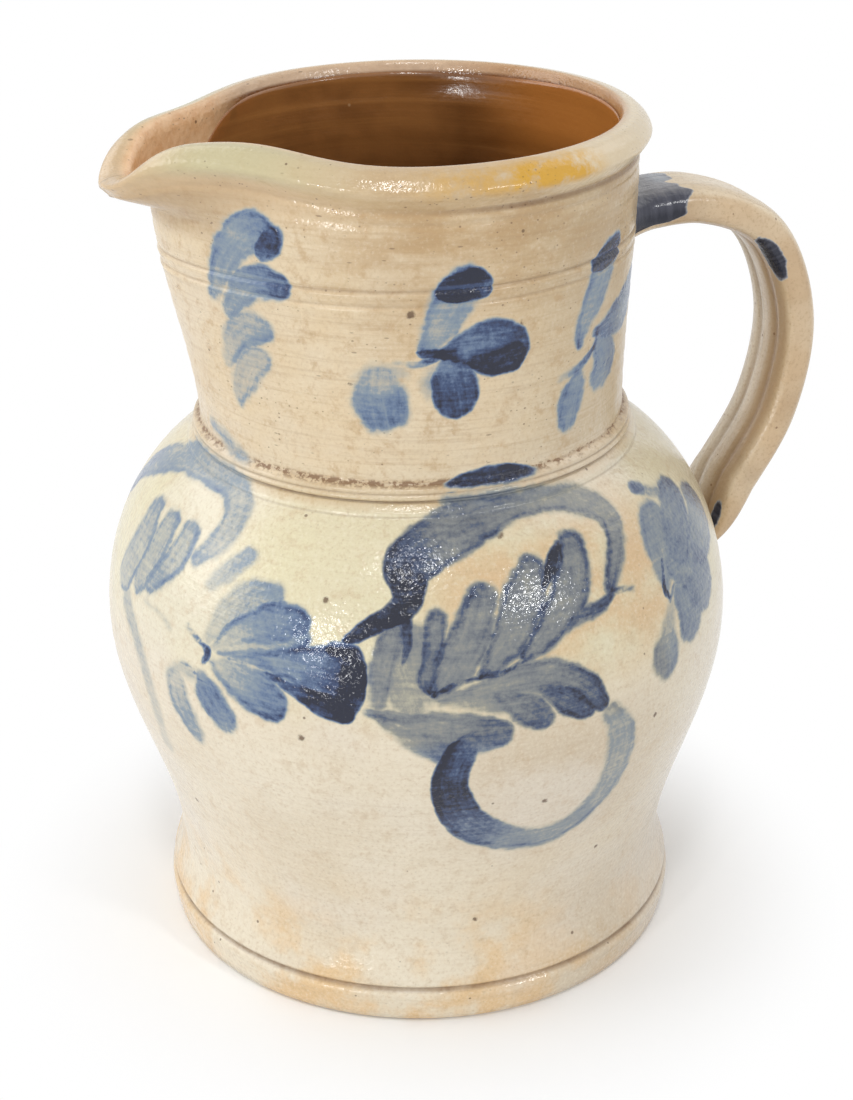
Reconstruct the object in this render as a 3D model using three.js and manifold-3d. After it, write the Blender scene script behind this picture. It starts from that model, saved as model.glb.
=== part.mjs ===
// Salt-glazed stoneware pitcher: a wheel-thrown body with a pulled pouring lip, a brown slip
// lining, and a pulled strap handle stuck on with a wad of clay at each end.
// Millimetres, +Z up. The origin is the middle of the resting face, the lip points to -X and
// the handle to +X.
import * as THREE from 'three';
import { mergeVertices } from 'three/addons/utils/BufferGeometryUtils.js';
import Module from 'manifold-3d';

const wasm = await Module();
wasm.setup();

// Heights of the thrown body above the resting face
const HEIGHT = 254; // crown of the rim
const FOOT_GROOVE_HEIGHT = 11.8; // tooled line above the foot bead
const WAIST_HEIGHT = 26; // narrowest place above the foot
const BELLY_HEIGHT = 104; // widest place
const SHOULDER_RISE = 60; // upper half-axis of the shoulder's elliptic arc
const NECK_LINES_HEIGHT = 222; // middle of the two incised lines

// Outer radii of the thrown body
const FOOT_RADIUS = 80.6;
const WAIST_RADIUS = 77;
const BELLY_RADIUS = 94.4;
const SHOULDER_INSET = 46; // half-axis of the shoulder's arc towards the axis
const NECK_RADIUS = 62.5; // just above the cordon
const NECK_TOP_RADIUS = 65.9; // just under the rim
const RIM_RADIUS = 69.4;

// Wall, floor, rim and tooled details
const WALL = 6.3;
const FLOOR = 9;
const FOOT_ROUND = 1.4; // rounded edges of the foot
const GROOVE_DEPTH = 1.2;
const GROOVE_HALF_WIDTH = 1.6;
const CORDON_HEIGHT = 8; // raised band round the foot of the neck
const CORDON_RADIUS = 66.6;
const NECK_LINE_SPACING = 4;
const NECK_LINE_DEPTH = 0.6;
const NECK_LINE_HALF_WIDTH = 0.8;
const RIM_BAND = 10.5; // height of the rolled rim
const RIM_CROWN_RADIUS = 61.2;
const RIM_INNER_DROP = 4; // height of the rounded inner edge of the rim

// Pouring lip, pulled out of the rim by hand
const THROAT_DROP = 92; // where the throat starts to swell, below the crown
const THROAT_PULL = 7.3;
const LIP_DEPTH = 19.5; // height of the flared lip
const LIP_FLARE = 7.5; // height over which the lip flares out
const LIP_PULL = 10.3;
const LIP_HALF_ANGLE = 24; // degrees
const LIP_POINT = 1.85; // 1 is a sharp point, 2 a round one
const LIP_SAG = 10.6; // dip of the crown in the middle of the lip
const LIP_SAG_ANGLE = 11.2; // degrees
const PINCH_DEPTH = 0.9; // where finger and thumb held the rim
const PINCH_ANGLE = 33; // degrees
const PINCH_WIDTH = 20; // degrees
const CHEEK_RISE = 4.1; // the front cheek of the lip stands higher
const CHEEK_DROP = 1.7; // the back cheek lower
const CHEEK_WIDTH = 22.5; // degrees

// The neck leans a little towards the lip
const LEAN = 1.1; // degrees
const LEAN_FROM = 38;
const LEAN_TO = 143;

// Slip lining: a thin coat on the inner wall
const CLEARANCE = 0.3; // between pieces that touch
const SLIP_THICKNESS = 0.6;
const SLIP_DROP = 7; // its upper edge, below the crown

// Strap handle. Its middle line is set by places: how far outside the neck, how far below the crown
const JOINT_DROP = 35.5; // upper joint, on the neck
const ARCH_OUT = 23;
const ARCH_DROP = 35;
const BEND_OUT = 44.5;
const BEND_DROP = 45.5;
const REACH_OUT = 55.5;
const REACH_DROP = 73;
const SWEEP_OUT = 51;
const SWEEP_DROP = 104;
const LANDING_HEIGHT = 123; // where the strap comes down on the belly
const LANDING_OUT = 9; // its middle there, outside the wall
const TAIL_LENGTH = 19; // from there down to the tip of the tail
const STRAP_WIDTH = 27;
const STRAP_THICKNESS = 12;
const STRAP_SQUARENESS = 3.2; // 2 is an ellipse, more is squarer
const WAD_LENGTH = 7; // upper clay wad, along the strap
const WAD_FLARE = 1.25; // how much wider a wad is at the wall
const TAIL_TAPER = 0.2; // what is left of the lower wad's thickness at its tip

// Mesh steps
const STEPS_ROUND = 44;
const STEPS_BELLY = 7;
const STEPS_SHOULDER = 6;
const STEPS_NECK = 4;
const STEPS_LIP = 6;
const STEPS_SECTION = 16;
const STEPS_STRAP = 18;
const STEPS_WAD = 6;

const ease = THREE.MathUtils.smoothstep;
const radians = THREE.MathUtils.degToRad;

// Thrown wall, as [radius, height] pairs

const neckFootHeight = shoulderHeight(CORDON_RADIUS);
const neckHeight = neckFootHeight + CORDON_HEIGHT;
const rimFootHeight = HEIGHT - RIM_BAND;

function shoulderHeight(radius) {
  const across = 1 - (BELLY_RADIUS - radius) / SHOULDER_INSET;
  return BELLY_HEIGHT + SHOULDER_RISE * Math.sqrt(1 - across * across);
}

// Plain outer wall with no bead, groove or rim
function wallRadius(height) {
  if (height < WAIST_HEIGHT) {
    const flare = 1 - ease(height, FOOT_GROOVE_HEIGHT, WAIST_HEIGHT);
    return WAIST_RADIUS + (FOOT_RADIUS - WAIST_RADIUS) * flare;
  }
  if (height < BELLY_HEIGHT) {
    return WAIST_RADIUS + (BELLY_RADIUS - WAIST_RADIUS) * ease(height, WAIST_HEIGHT, BELLY_HEIGHT);
  }
  if (height < neckFootHeight) {
    const up = (height - BELLY_HEIGHT) / SHOULDER_RISE;
    return BELLY_RADIUS - SHOULDER_INSET * (1 - Math.sqrt(1 - up * up));
  }
  if (height < neckHeight) {
    return CORDON_RADIUS + (NECK_RADIUS - CORDON_RADIUS) * ease(height, neckFootHeight, neckHeight);
  }
  return NECK_RADIUS + (NECK_TOP_RADIUS - NECK_RADIUS) * ease(height, neckHeight, rimFootHeight);
}

// Heights that divide a stretch of wall evenly, without its end
function stretch(from, to, steps) {
  return Array.from({ length: steps }, (_, step) => from + ((to - from) * step) / steps);
}

// Shoulder rows crowd towards the neck, where the arc turns in
function shoulderRows() {
  const last = Math.asin((neckFootHeight - BELLY_HEIGHT) / SHOULDER_RISE);
  return stretch(0, last, STEPS_SHOULDER).map((turn) => BELLY_HEIGHT + SHOULDER_RISE * Math.sin(turn));
}

function groove(height, depth, halfWidth) {
  return [-halfWidth, 0, halfWidth].map((offset) => [
    wallRadius(height + offset) - (offset === 0 ? depth : 0),
    height + offset,
  ]);
}

function footProfile() {
  return [
    [0, 0],
    [FOOT_RADIUS - 2 * FOOT_ROUND, 0],
    [FOOT_RADIUS - FOOT_ROUND / 3, FOOT_ROUND],
    [FOOT_RADIUS, FOOT_GROOVE_HEIGHT / 2],
    ...groove(FOOT_GROOVE_HEIGHT, GROOVE_DEPTH, GROOVE_HALF_WIDTH),
  ];
}

function bellyProfile() {
  const flareFrom = FOOT_GROOVE_HEIGHT + GROOVE_HALF_WIDTH;
  const rows = [
    (flareFrom + WAIST_HEIGHT) / 2,
    ...stretch(WAIST_HEIGHT, BELLY_HEIGHT, STEPS_BELLY),
    ...shoulderRows(),
  ];
  return rows.map((height) => [wallRadius(height), height]);
}

// A ridge on the shoulder's edge, a groove, a bead and the start of the neck
function cordonProfile() {
  const quarter = CORDON_HEIGHT / 4;
  return [
    [CORDON_RADIUS, neckFootHeight],
    [CORDON_RADIUS - 2 * GROOVE_DEPTH, neckFootHeight + quarter],
    [CORDON_RADIUS - GROOVE_DEPTH, neckFootHeight + 1.6 * quarter],
    [CORDON_RADIUS - GROOVE_DEPTH, neckFootHeight + 2.4 * quarter],
    [NECK_RADIUS, neckHeight],
  ];
}

function neckProfile() {
  const lowerLine = NECK_LINES_HEIGHT - NECK_LINE_SPACING / 2;
  const upperLine = NECK_LINES_HEIGHT + NECK_LINE_SPACING / 2;
  const plain = (height) => [wallRadius(height), height];
  return [
    ...stretch(neckHeight, lowerLine - NECK_LINE_HALF_WIDTH, STEPS_NECK).slice(1).map(plain),
    ...groove(lowerLine, NECK_LINE_DEPTH, NECK_LINE_HALF_WIDTH),
    ...groove(upperLine, NECK_LINE_DEPTH, NECK_LINE_HALF_WIDTH),
    ...stretch(upperLine, rimFootHeight, STEPS_LIP).slice(1).map(plain),
    plain(rimFootHeight),
  ];
}

// Rolled rim, from its lower edge over the crown to the inner edge
function rimProfile() {
  const inner = NECK_TOP_RADIUS - WALL;
  const overhang = RIM_RADIUS - NECK_TOP_RADIUS;
  return [
    [RIM_RADIUS - overhang / 4, rimFootHeight + overhang],
    [RIM_RADIUS, HEIGHT - RIM_BAND / 2],
    [RIM_RADIUS - overhang / 2, HEIGHT - RIM_BAND / 4],
    [(RIM_RADIUS + RIM_CROWN_RADIUS) / 2, HEIGHT - RIM_BAND / 16],
    [RIM_CROWN_RADIUS, HEIGHT],
    [(inner + RIM_CROWN_RADIUS) / 2, HEIGHT - RIM_INNER_DROP / 4],
    [inner, HEIGHT - RIM_INNER_DROP],
  ];
}

// Wall line moved inwards by a depth, square to the wall, from near the rim to the floor
function innerRow(height, depth) {
  const step = 0.01;
  const slope = (wallRadius(height + step) - wallRadius(height - step)) / (2 * step);
  const length = Math.hypot(1, slope);
  return [wallRadius(height) - depth / length, height + (depth * slope) / length];
}

function innerProfile(depth) {
  const heelHeight = FLOOR + depth;
  const slipTop = HEIGHT - SLIP_DROP;
  const lipFoot = HEIGHT - LIP_DEPTH;
  const rows = [
    slipTop,
    ...stretch(lipFoot, slipTop, STEPS_LIP).reverse(),
    ...stretch(neckHeight, lipFoot, STEPS_NECK).reverse(),
    neckFootHeight - CORDON_HEIGHT / 8,
    ...shoulderRows().slice(1).reverse(),
    ...stretch(WAIST_HEIGHT, BELLY_HEIGHT, STEPS_BELLY).slice(1).reverse(),
  ];
  const heelRadius = WAIST_RADIUS - depth;
  return [
    ...rows.map((height) => innerRow(height, depth)),
    [heelRadius, WAIST_HEIGHT],
    [heelRadius - FLOOR / 4, heelHeight + FLOOR / 2],
    [heelRadius - FLOOR, heelHeight - WALL + FLOOR / 12],
    [0, heelHeight - WALL],
  ];
}

// Shaping by hand after throwing

// Moves a thrown point into the pulled lip. The angle is measured from the lip's middle.
function pullLip(angle, radius, height) {
  const turn = Math.abs(THREE.MathUtils.radToDeg(angle));
  const bump = (middle, width) => Math.exp(-(((turn - middle) / width) ** 2));
  const fan = Math.exp(-((turn / LIP_HALF_ANGLE) ** LIP_POINT));
  const cheek = (angle > 0 ? CHEEK_RISE : -CHEEK_DROP) * bump(PINCH_ANGLE, CHEEK_WIDTH);
  const lipFoot = HEIGHT - LIP_DEPTH;
  const throat = ease(height, HEIGHT - THROAT_DROP, lipFoot);
  const lip = ease(height, lipFoot, lipFoot + LIP_FLARE);
  const pull = fan * (THROAT_PULL * throat + LIP_PULL * lip);
  const sag = LIP_SAG * bump(0, LIP_SAG_ANGLE) * THREE.MathUtils.clamp((height - lipFoot) / LIP_DEPTH, 0, 1);
  const pinch = PINCH_DEPTH * bump(PINCH_ANGLE, PINCH_WIDTH) * lip;
  return [radius + pull - pinch, height + cheek * lip - sag];
}

// Thrown coordinates to the finished place: lip pulled, neck leaning towards it
function shaped(angle, radius, height) {
  const [pulled, level] = pullLip(angle, radius, height);
  const x = -pulled * Math.cos(angle);
  const y = -pulled * Math.sin(angle);
  const lean = radians(LEAN) * ease(level, LEAN_FROM, LEAN_TO);
  return new THREE.Vector3(x - lean * (level - LEAN_FROM), y, level + lean * x);
}

// Turns a profile into a solid of the finished shape
function thrown(profile) {
  const points = profile.map(([radius, height]) => new THREE.Vector2(radius, height));
  const geometry = new THREE.LatheGeometry(points, STEPS_ROUND);
  const place = geometry.attributes.position;
  for (let index = 0; index < place.count; index += 1) {
    // LatheGeometry turns about Y, so its Y is this model's height
    const radius = Math.hypot(place.getX(index), place.getZ(index));
    const angle = radius > 0 ? Math.atan2(place.getX(index), -place.getZ(index)) : 0;
    const point = shaped(angle, radius, place.getY(index));
    place.setXYZ(index, point.x, point.y, point.z);
  }
  return closed(geometry);
}

// Closed meshes and cuts

// Merges shared vertices, drops the slivers at a pole and turns the faces outwards
function closed(source) {
  const bare = source.clone();
  bare.deleteAttribute('normal');
  bare.deleteAttribute('uv');
  const merged = mergeVertices(bare, 1e-4);
  const corners = merged.index.array;
  const kept = [];
  for (let face = 0; face < corners.length; face += 3) {
    const [a, b, c] = corners.slice(face, face + 3);
    if (a !== b && b !== c && c !== a) kept.push(a, b, c);
  }
  merged.setIndex(kept);
  if (signedVolume(merged) < 0) merged.setIndex(kept.reverse());
  merged.computeVertexNormals();
  return merged;
}

function signedVolume(geometry) {
  const place = geometry.attributes.position;
  const corners = geometry.index.array;
  const corner = (index) => new THREE.Vector3().fromBufferAttribute(place, corners[index]);
  let volume = 0;
  for (let face = 0; face < corners.length; face += 3) {
    volume += corner(face).dot(corner(face + 1).cross(corner(face + 2))) / 6;
  }
  return volume;
}

function solid(geometry) {
  return new wasm.Manifold(
    new wasm.Mesh({
      numProp: 3,
      vertProperties: new Float32Array(geometry.attributes.position.array),
      triVerts: new Uint32Array(geometry.index.array),
    }),
  );
}

function cut(geometry, tool) {
  const mesh = solid(geometry).subtract(solid(tool)).getMesh();
  const result = new THREE.BufferGeometry();
  result.setAttribute('position', new THREE.BufferAttribute(mesh.vertProperties, 3));
  result.setIndex(new THREE.BufferAttribute(mesh.triVerts, 1));
  return closed(result);
}

// Strap handle and its clay wads, as stretches of one swept strap

// A place on the handle's side, outside the neck and below the crown
function handlePlace(out, drop) {
  return shaped(Math.PI, NECK_TOP_RADIUS + out, HEIGHT - drop);
}

// A place on the handle's side, outside the wall at a thrown height
function wallPlace(height, out) {
  return shaped(Math.PI, wallRadius(height) + out, height);
}

// Middle line of the strap: out of the neck, over the arch and down into the belly
function strapLine() {
  const tailHeight = LANDING_HEIGHT - TAIL_LENGTH;
  const places = [
    handlePlace(-WALL / 2, JOINT_DROP),
    handlePlace(ARCH_OUT, ARCH_DROP),
    handlePlace(BEND_OUT, BEND_DROP),
    handlePlace(REACH_OUT, REACH_DROP),
    handlePlace(SWEEP_OUT, SWEEP_DROP),
    wallPlace(LANDING_HEIGHT, LANDING_OUT),
    wallPlace(LANDING_HEIGHT - TAIL_LENGTH / 2, LANDING_OUT / 4),
    wallPlace(tailHeight, -STRAP_THICKNESS / 4),
  ];
  return new THREE.CatmullRomCurve3(places, false, 'centripetal');
}

const line = strapLine();
const lineLength = line.getLength();

// Rounded strap section, as offsets across the strap and out of it
function strapSection(width, thickness) {
  const power = 2 / STRAP_SQUARENESS;
  const bow = (value) => Math.sign(value) * Math.abs(value) ** power;
  return Array.from({ length: STEPS_SECTION }, (_, step) => {
    const turn = (2 * Math.PI * step) / STEPS_SECTION;
    return [(width / 2) * bow(Math.cos(turn)), (thickness / 2) * bow(Math.sin(turn))];
  });
}

// Sweeps the strap section along the line, from one length to another
function sweep(from, to, steps, swellAt) {
  const places = [];
  const corners = [];
  for (let step = 0; step <= steps; step += 1) {
    const along = from + ((to - from) * step) / steps;
    const part = along / lineLength;
    const middle = line.getPointAt(part);
    const ahead = line.getTangentAt(part);
    const out = new THREE.Vector3(-ahead.z, 0, ahead.x);
    const [wider, thicker] = swellAt(along);
    const section = strapSection(STRAP_WIDTH * wider, STRAP_THICKNESS * thicker);
    section.forEach(([across, outward]) => {
      places.push(middle.x + out.x * outward, across, middle.z + out.z * outward);
    });
  }
  const around = STEPS_SECTION;
  for (let step = 0; step < steps; step += 1) {
    for (let side = 0; side < around; side += 1) {
      const here = step * around + side;
      const next = step * around + ((side + 1) % around);
      corners.push(here, next, next + around, here, next + around, here + around);
    }
  }
  const last = steps * around;
  for (let side = 1; side < around - 1; side += 1) {
    corners.push(0, side + 1, side);
    corners.push(last, last + side, last + side + 1);
  }
  const geometry = new THREE.BufferGeometry();
  geometry.setAttribute('position', new THREE.Float32BufferAttribute(places, 3));
  geometry.setIndex(corners);
  return closed(geometry);
}

// The wall as a filled solid, a clearance larger, to cut the wads against
function wallEnvelope(clearance) {
  const rows = [
    FOOT_GROOVE_HEIGHT,
    ...stretch(WAIST_HEIGHT, BELLY_HEIGHT, STEPS_BELLY),
    ...shoulderRows(),
    ...stretch(neckHeight, rimFootHeight, STEPS_NECK),
    rimFootHeight,
  ];
  const profile = rows.map((height) => [wallRadius(height) + clearance, height]);
  return thrown([[0, FOOT_GROOVE_HEIGHT], ...profile, [0, rimFootHeight]]);
}

const upperJoint = WALL / 2 + WAD_LENGTH;
const lowerJoint = lineLength - TAIL_LENGTH - LANDING_OUT;
const lowerRun = lineLength - lowerJoint;

// The upper wad flares evenly towards the neck
function upperSwell(along) {
  const flare = 1 + (WAD_FLARE - 1) * (1 - along / upperJoint) ** 2;
  return [flare, flare];
}

// The lower wad spreads where the strap lands, and its tail thins out and narrows to a tip
function lowerSwell(along) {
  const share = (along - lowerJoint) / lowerRun;
  const spread = 1 + (WAD_FLARE - 1) * Math.sin(Math.PI * share) - share * share / 2;
  return [spread, 1 + (TAIL_TAPER - 1) * share];
}

// Assembly

const pitcher = new THREE.Group();

function addPiece(name, geometry, colour, roughness) {
  const material = new THREE.MeshStandardMaterial({ color: colour, roughness, metalness: 0 });
  const mesh = new THREE.Mesh(geometry, material);
  mesh.name = name;
  pitcher.add(mesh);
}

const bodyProfile = [
  ...footProfile(),
  ...bellyProfile(),
  ...cordonProfile(),
  ...neckProfile(),
  ...rimProfile(),
  ...innerProfile(WALL),
];
addPiece('thrown_body', thrown(bodyProfile), 0xd6c7a6, 0.45);

// The lining's back runs down like the inner wall, so that their facets lie parallel
const slipBack = innerProfile(WALL + CLEARANCE);
const slipFace = innerProfile(WALL + CLEARANCE + SLIP_THICKNESS).reverse();
addPiece('slip_lining', thrown([...slipBack, ...slipFace, slipBack[0]]), 0x6b3f1c, 0.2);

addPiece(
  'strap_handle',
  sweep(upperJoint, lowerJoint, STEPS_STRAP, () => [1, 1]),
  0xc9ab7f,
  0.5,
);

const wall = wallEnvelope(CLEARANCE);
const upperWad = sweep(0, upperJoint - CLEARANCE, STEPS_WAD, upperSwell);
addPiece('upper_wad', cut(upperWad, wall), 0xcdb48a, 0.5);

const lowerWad = sweep(lowerJoint + CLEARANCE, lineLength, STEPS_WAD, lowerSwell);
addPiece('lower_wad', cut(lowerWad, wall), 0xcdb48a, 0.5);

export default pitcher;
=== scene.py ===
import math
import bpy
import numpy as np
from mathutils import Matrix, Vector


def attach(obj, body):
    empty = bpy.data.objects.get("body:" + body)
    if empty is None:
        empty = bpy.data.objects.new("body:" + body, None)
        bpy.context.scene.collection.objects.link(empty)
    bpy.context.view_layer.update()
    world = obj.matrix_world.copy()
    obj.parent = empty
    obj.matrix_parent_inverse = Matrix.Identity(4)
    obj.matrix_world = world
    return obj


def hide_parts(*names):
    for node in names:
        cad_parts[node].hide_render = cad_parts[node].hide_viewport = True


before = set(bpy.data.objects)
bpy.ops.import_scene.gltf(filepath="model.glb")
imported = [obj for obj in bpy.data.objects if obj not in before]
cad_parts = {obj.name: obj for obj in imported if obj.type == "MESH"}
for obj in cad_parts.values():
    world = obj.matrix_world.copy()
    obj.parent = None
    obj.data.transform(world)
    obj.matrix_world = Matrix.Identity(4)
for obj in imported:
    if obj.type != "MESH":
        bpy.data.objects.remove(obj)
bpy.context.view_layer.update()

# Sizes in millimetres, as in the solid model
MM = 0.001
HEIGHT = 254.0
FOOT_GROOVE_HEIGHT = 11.8
WAIST_HEIGHT = 26.0
BELLY_HEIGHT = 104.0
SHOULDER_RISE = 60.0
NECK_LINES_HEIGHT = 222.0
FOOT_RADIUS = 80.6
WAIST_RADIUS = 77.0
BELLY_RADIUS = 94.4
SHOULDER_INSET = 46.0
NECK_RADIUS = 62.5
NECK_TOP_RADIUS = 65.9
RIM_RADIUS = 69.4
WALL = 6.3
FLOOR = 9.0
FOOT_ROUND = 1.4
GROOVE_DEPTH = 1.2
CORDON_HEIGHT = 8.0
CORDON_RADIUS = 66.6
NECK_LINE_SPACING = 4.0
NECK_LINE_DEPTH = 0.6
RIM_BAND = 10.5
RIM_CROWN_RADIUS = 61.2
RIM_INNER_DROP = 4.0
THROAT_DROP = 92.0
THROAT_PULL = 7.3
LIP_DEPTH = 19.5
LIP_FLARE = 7.5
LIP_PULL = 10.3
LIP_HALF_ANGLE = 24.0
LIP_POINT = 1.85
LIP_SAG = 10.6
LIP_SAG_ANGLE = 11.2
NOSE_ANGLE = 12.6
NOSE_ROUNDNESS = 3.0
PINCH_DEPTH = 0.9
PINCH_ANGLE = 33.0
PINCH_WIDTH = 20.0
CHEEK_RISE = 4.1
CHEEK_DROP = 1.7
CHEEK_WIDTH = 22.5
LEAN = math.radians(1.1)
LEAN_FROM = 38.0
LEAN_TO = 143.0
SLIP_DROP = 7.0
JOINT_DROP = 35.5
LANDING_HEIGHT = 123.0
LANDING_OUT = 9.0
TAIL_LENGTH = 19.0
STRAP_WIDTH = 27.0
STRAP_THICKNESS = 12.0
WAD_LENGTH = 7.0
WAD_FLARE = 1.25
TAIL_TAPER = 0.2

NECK_FOOT = BELLY_HEIGHT + SHOULDER_RISE * math.sqrt(
    1 - (1 - (BELLY_RADIUS - CORDON_RADIUS) / SHOULDER_INSET) ** 2
)
NECK_START = NECK_FOOT + CORDON_HEIGHT
RIM_FOOT = HEIGHT - RIM_BAND

# The painted and textured skin starts this far under the solid's surface, so that it never stands proud
SKIN_INSET = 0.35


# Shape of the wall

def ease(value, start, end):
    part = np.clip((np.asarray(value, float) - start) / (end - start), 0, 1)
    return part * part * (3 - 2 * part)


def swell(value, middle, width):
    return np.exp(-(((np.asarray(value, float) - middle) / width) ** 2))


def wall_radius(height):
    height = np.asarray(height, float)
    heel = WAIST_RADIUS + (FOOT_RADIUS - WAIST_RADIUS) * (1 - ease(height, FOOT_GROOVE_HEIGHT, WAIST_HEIGHT))
    belly = WAIST_RADIUS + (BELLY_RADIUS - WAIST_RADIUS) * ease(height, WAIST_HEIGHT, BELLY_HEIGHT)
    climb = np.clip((height - BELLY_HEIGHT) / SHOULDER_RISE, 0, 1)
    shoulder = BELLY_RADIUS - SHOULDER_INSET * (1 - np.sqrt(1 - climb * climb))
    cordon = CORDON_RADIUS + (NECK_RADIUS - CORDON_RADIUS) * ease(height, NECK_FOOT, NECK_START)
    neck = NECK_RADIUS + (NECK_TOP_RADIUS - NECK_RADIUS) * ease(height, NECK_START, RIM_FOOT)
    return np.select(
        [height < WAIST_HEIGHT, height < BELLY_HEIGHT, height < NECK_FOOT, height < NECK_START],
        [heel, belly, shoulder, cordon],
        neck,
    )


def shaped(angle, radius, height):
    """A thrown place moved by the pulled lip and the pot's lean; degrees from the lip, towards the front."""
    angle = np.asarray(angle, float)
    turn = np.abs(angle)
    lip_foot = HEIGHT - LIP_DEPTH
    fan = np.exp(-((turn / LIP_HALF_ANGLE) ** LIP_POINT))
    throat = ease(height, HEIGHT - THROAT_DROP, lip_foot)
    lip = ease(height, lip_foot, lip_foot + LIP_FLARE)
    pulled = radius + fan * (THROAT_PULL * throat + LIP_PULL * lip)
    pulled = pulled - PINCH_DEPTH * swell(turn, PINCH_ANGLE, PINCH_WIDTH) * lip
    cheek = np.where(angle > 0, CHEEK_RISE, -CHEEK_DROP) * swell(turn, PINCH_ANGLE, CHEEK_WIDTH)
    far_dip = swell(turn, 0, LIP_SAG_ANGLE)
    near_dip = np.exp(-((turn / NOSE_ANGLE) ** NOSE_ROUNDNESS))
    sag = LIP_SAG * np.where(angle > 0, near_dip, far_dip) * np.clip((height - lip_foot) / LIP_DEPTH, 0, 1)
    level = height + cheek * lip - sag
    x = -pulled * np.cos(np.radians(angle))
    y = -pulled * np.sin(np.radians(angle))
    lean = LEAN * ease(level, LEAN_FROM, LEAN_TO)
    return np.stack([x - lean * (level - LEAN_FROM), y, level + lean * x], -1)


def on_wall(angle, height):
    return shaped(angle, wall_radius(height), height)


def run_along(line):
    """Length so far at each point of a line."""
    return np.concatenate([[0], np.cumsum(np.linalg.norm(np.diff(line, axis=0), axis=1))])


def points_at(line, known, wanted):
    """Points of a line where a measure that is known at each of its points has the wanted values."""
    return np.stack([np.interp(wanted, known, values) for values in line.T], 1)


def smoothed(line, step, softness):
    """A polyline drawn again with even steps and softened corners; its ends stay."""
    line = np.asarray(line, float)
    run = run_along(line)
    even = np.linspace(0, run[-1], int(run[-1] / step) + 2)
    return softened(points_at(line, run, even), step, softness)


def softened(line, step, softness):
    """An evenly stepped polyline with its corners rounded off."""
    reach = int(3 * softness / step)
    weights = np.exp(-0.5 * (np.arange(-reach, reach + 1) * step / softness) ** 2)
    weights /= weights.sum()
    soft = np.empty_like(line)
    for axis in (0, 1):
        padded = np.pad(line[:, axis], reach, mode="reflect", reflect_type="odd")
        soft[:, axis] = np.convolve(padded, weights, "valid")
    return soft


RING_PITCH = 5.5
RING_DEPTH_BELLY = 0.06
RING_DEPTH_NECK = 0.13
# Heights between which the rings grow deeper
RING_CHANGE = (150, 175)


def throwing_rings(height, angle):
    """Shallow rings that the fingers left, climbing as a slow spiral."""
    climb = (height / RING_PITCH + angle / 360) * 2 * math.pi
    rings = 0.5 * np.sin(climb) + 0.3 * np.sin(2 * climb + 1.7) + 0.2 * np.sin(height * 0.41 + 0.6)
    deeper = (RING_DEPTH_NECK - RING_DEPTH_BELLY) * ease(height, *RING_CHANGE)
    return rings * (RING_DEPTH_BELLY + deeper)


# Fine ridges and grooves of the cordon: lift over the neck's foot, half width and depth
CORDON_LINES = (
    (0.9, 0.5, -0.4), (3.5, 0.4, 0.7), (4.7, 0.6, -0.4),
    (5.8, 0.35, 0.4), (6.8, 0.5, -0.35), (8.3, 0.5, 0.45),
)
# The cordon's section: inset under its full radius and lift over the neck's foot
CORDON_SECTION = ((0, 0), (0.5, 1.4), (2.2, 3.2), (1.5, 4.6), (2.0, 6.6))
# Grooves under the rim: drop under the rim's foot, half width and depth
RIM_GROOVES = ((0.6, 0.9, 0.35), (4.2, 0.6, 0.3))
FOOT_GROOVE_WIDTH = 1.0
FOOT_BEAD_BULGE = 0.5
NECK_LINE_WIDTH = 0.55
NECK_LINE_BURR = 0.22
PROFILE_STEP = 0.2
PROFILE_SOFTNESS = 0.55
LIP_SOFTNESS = 2.3


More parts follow.
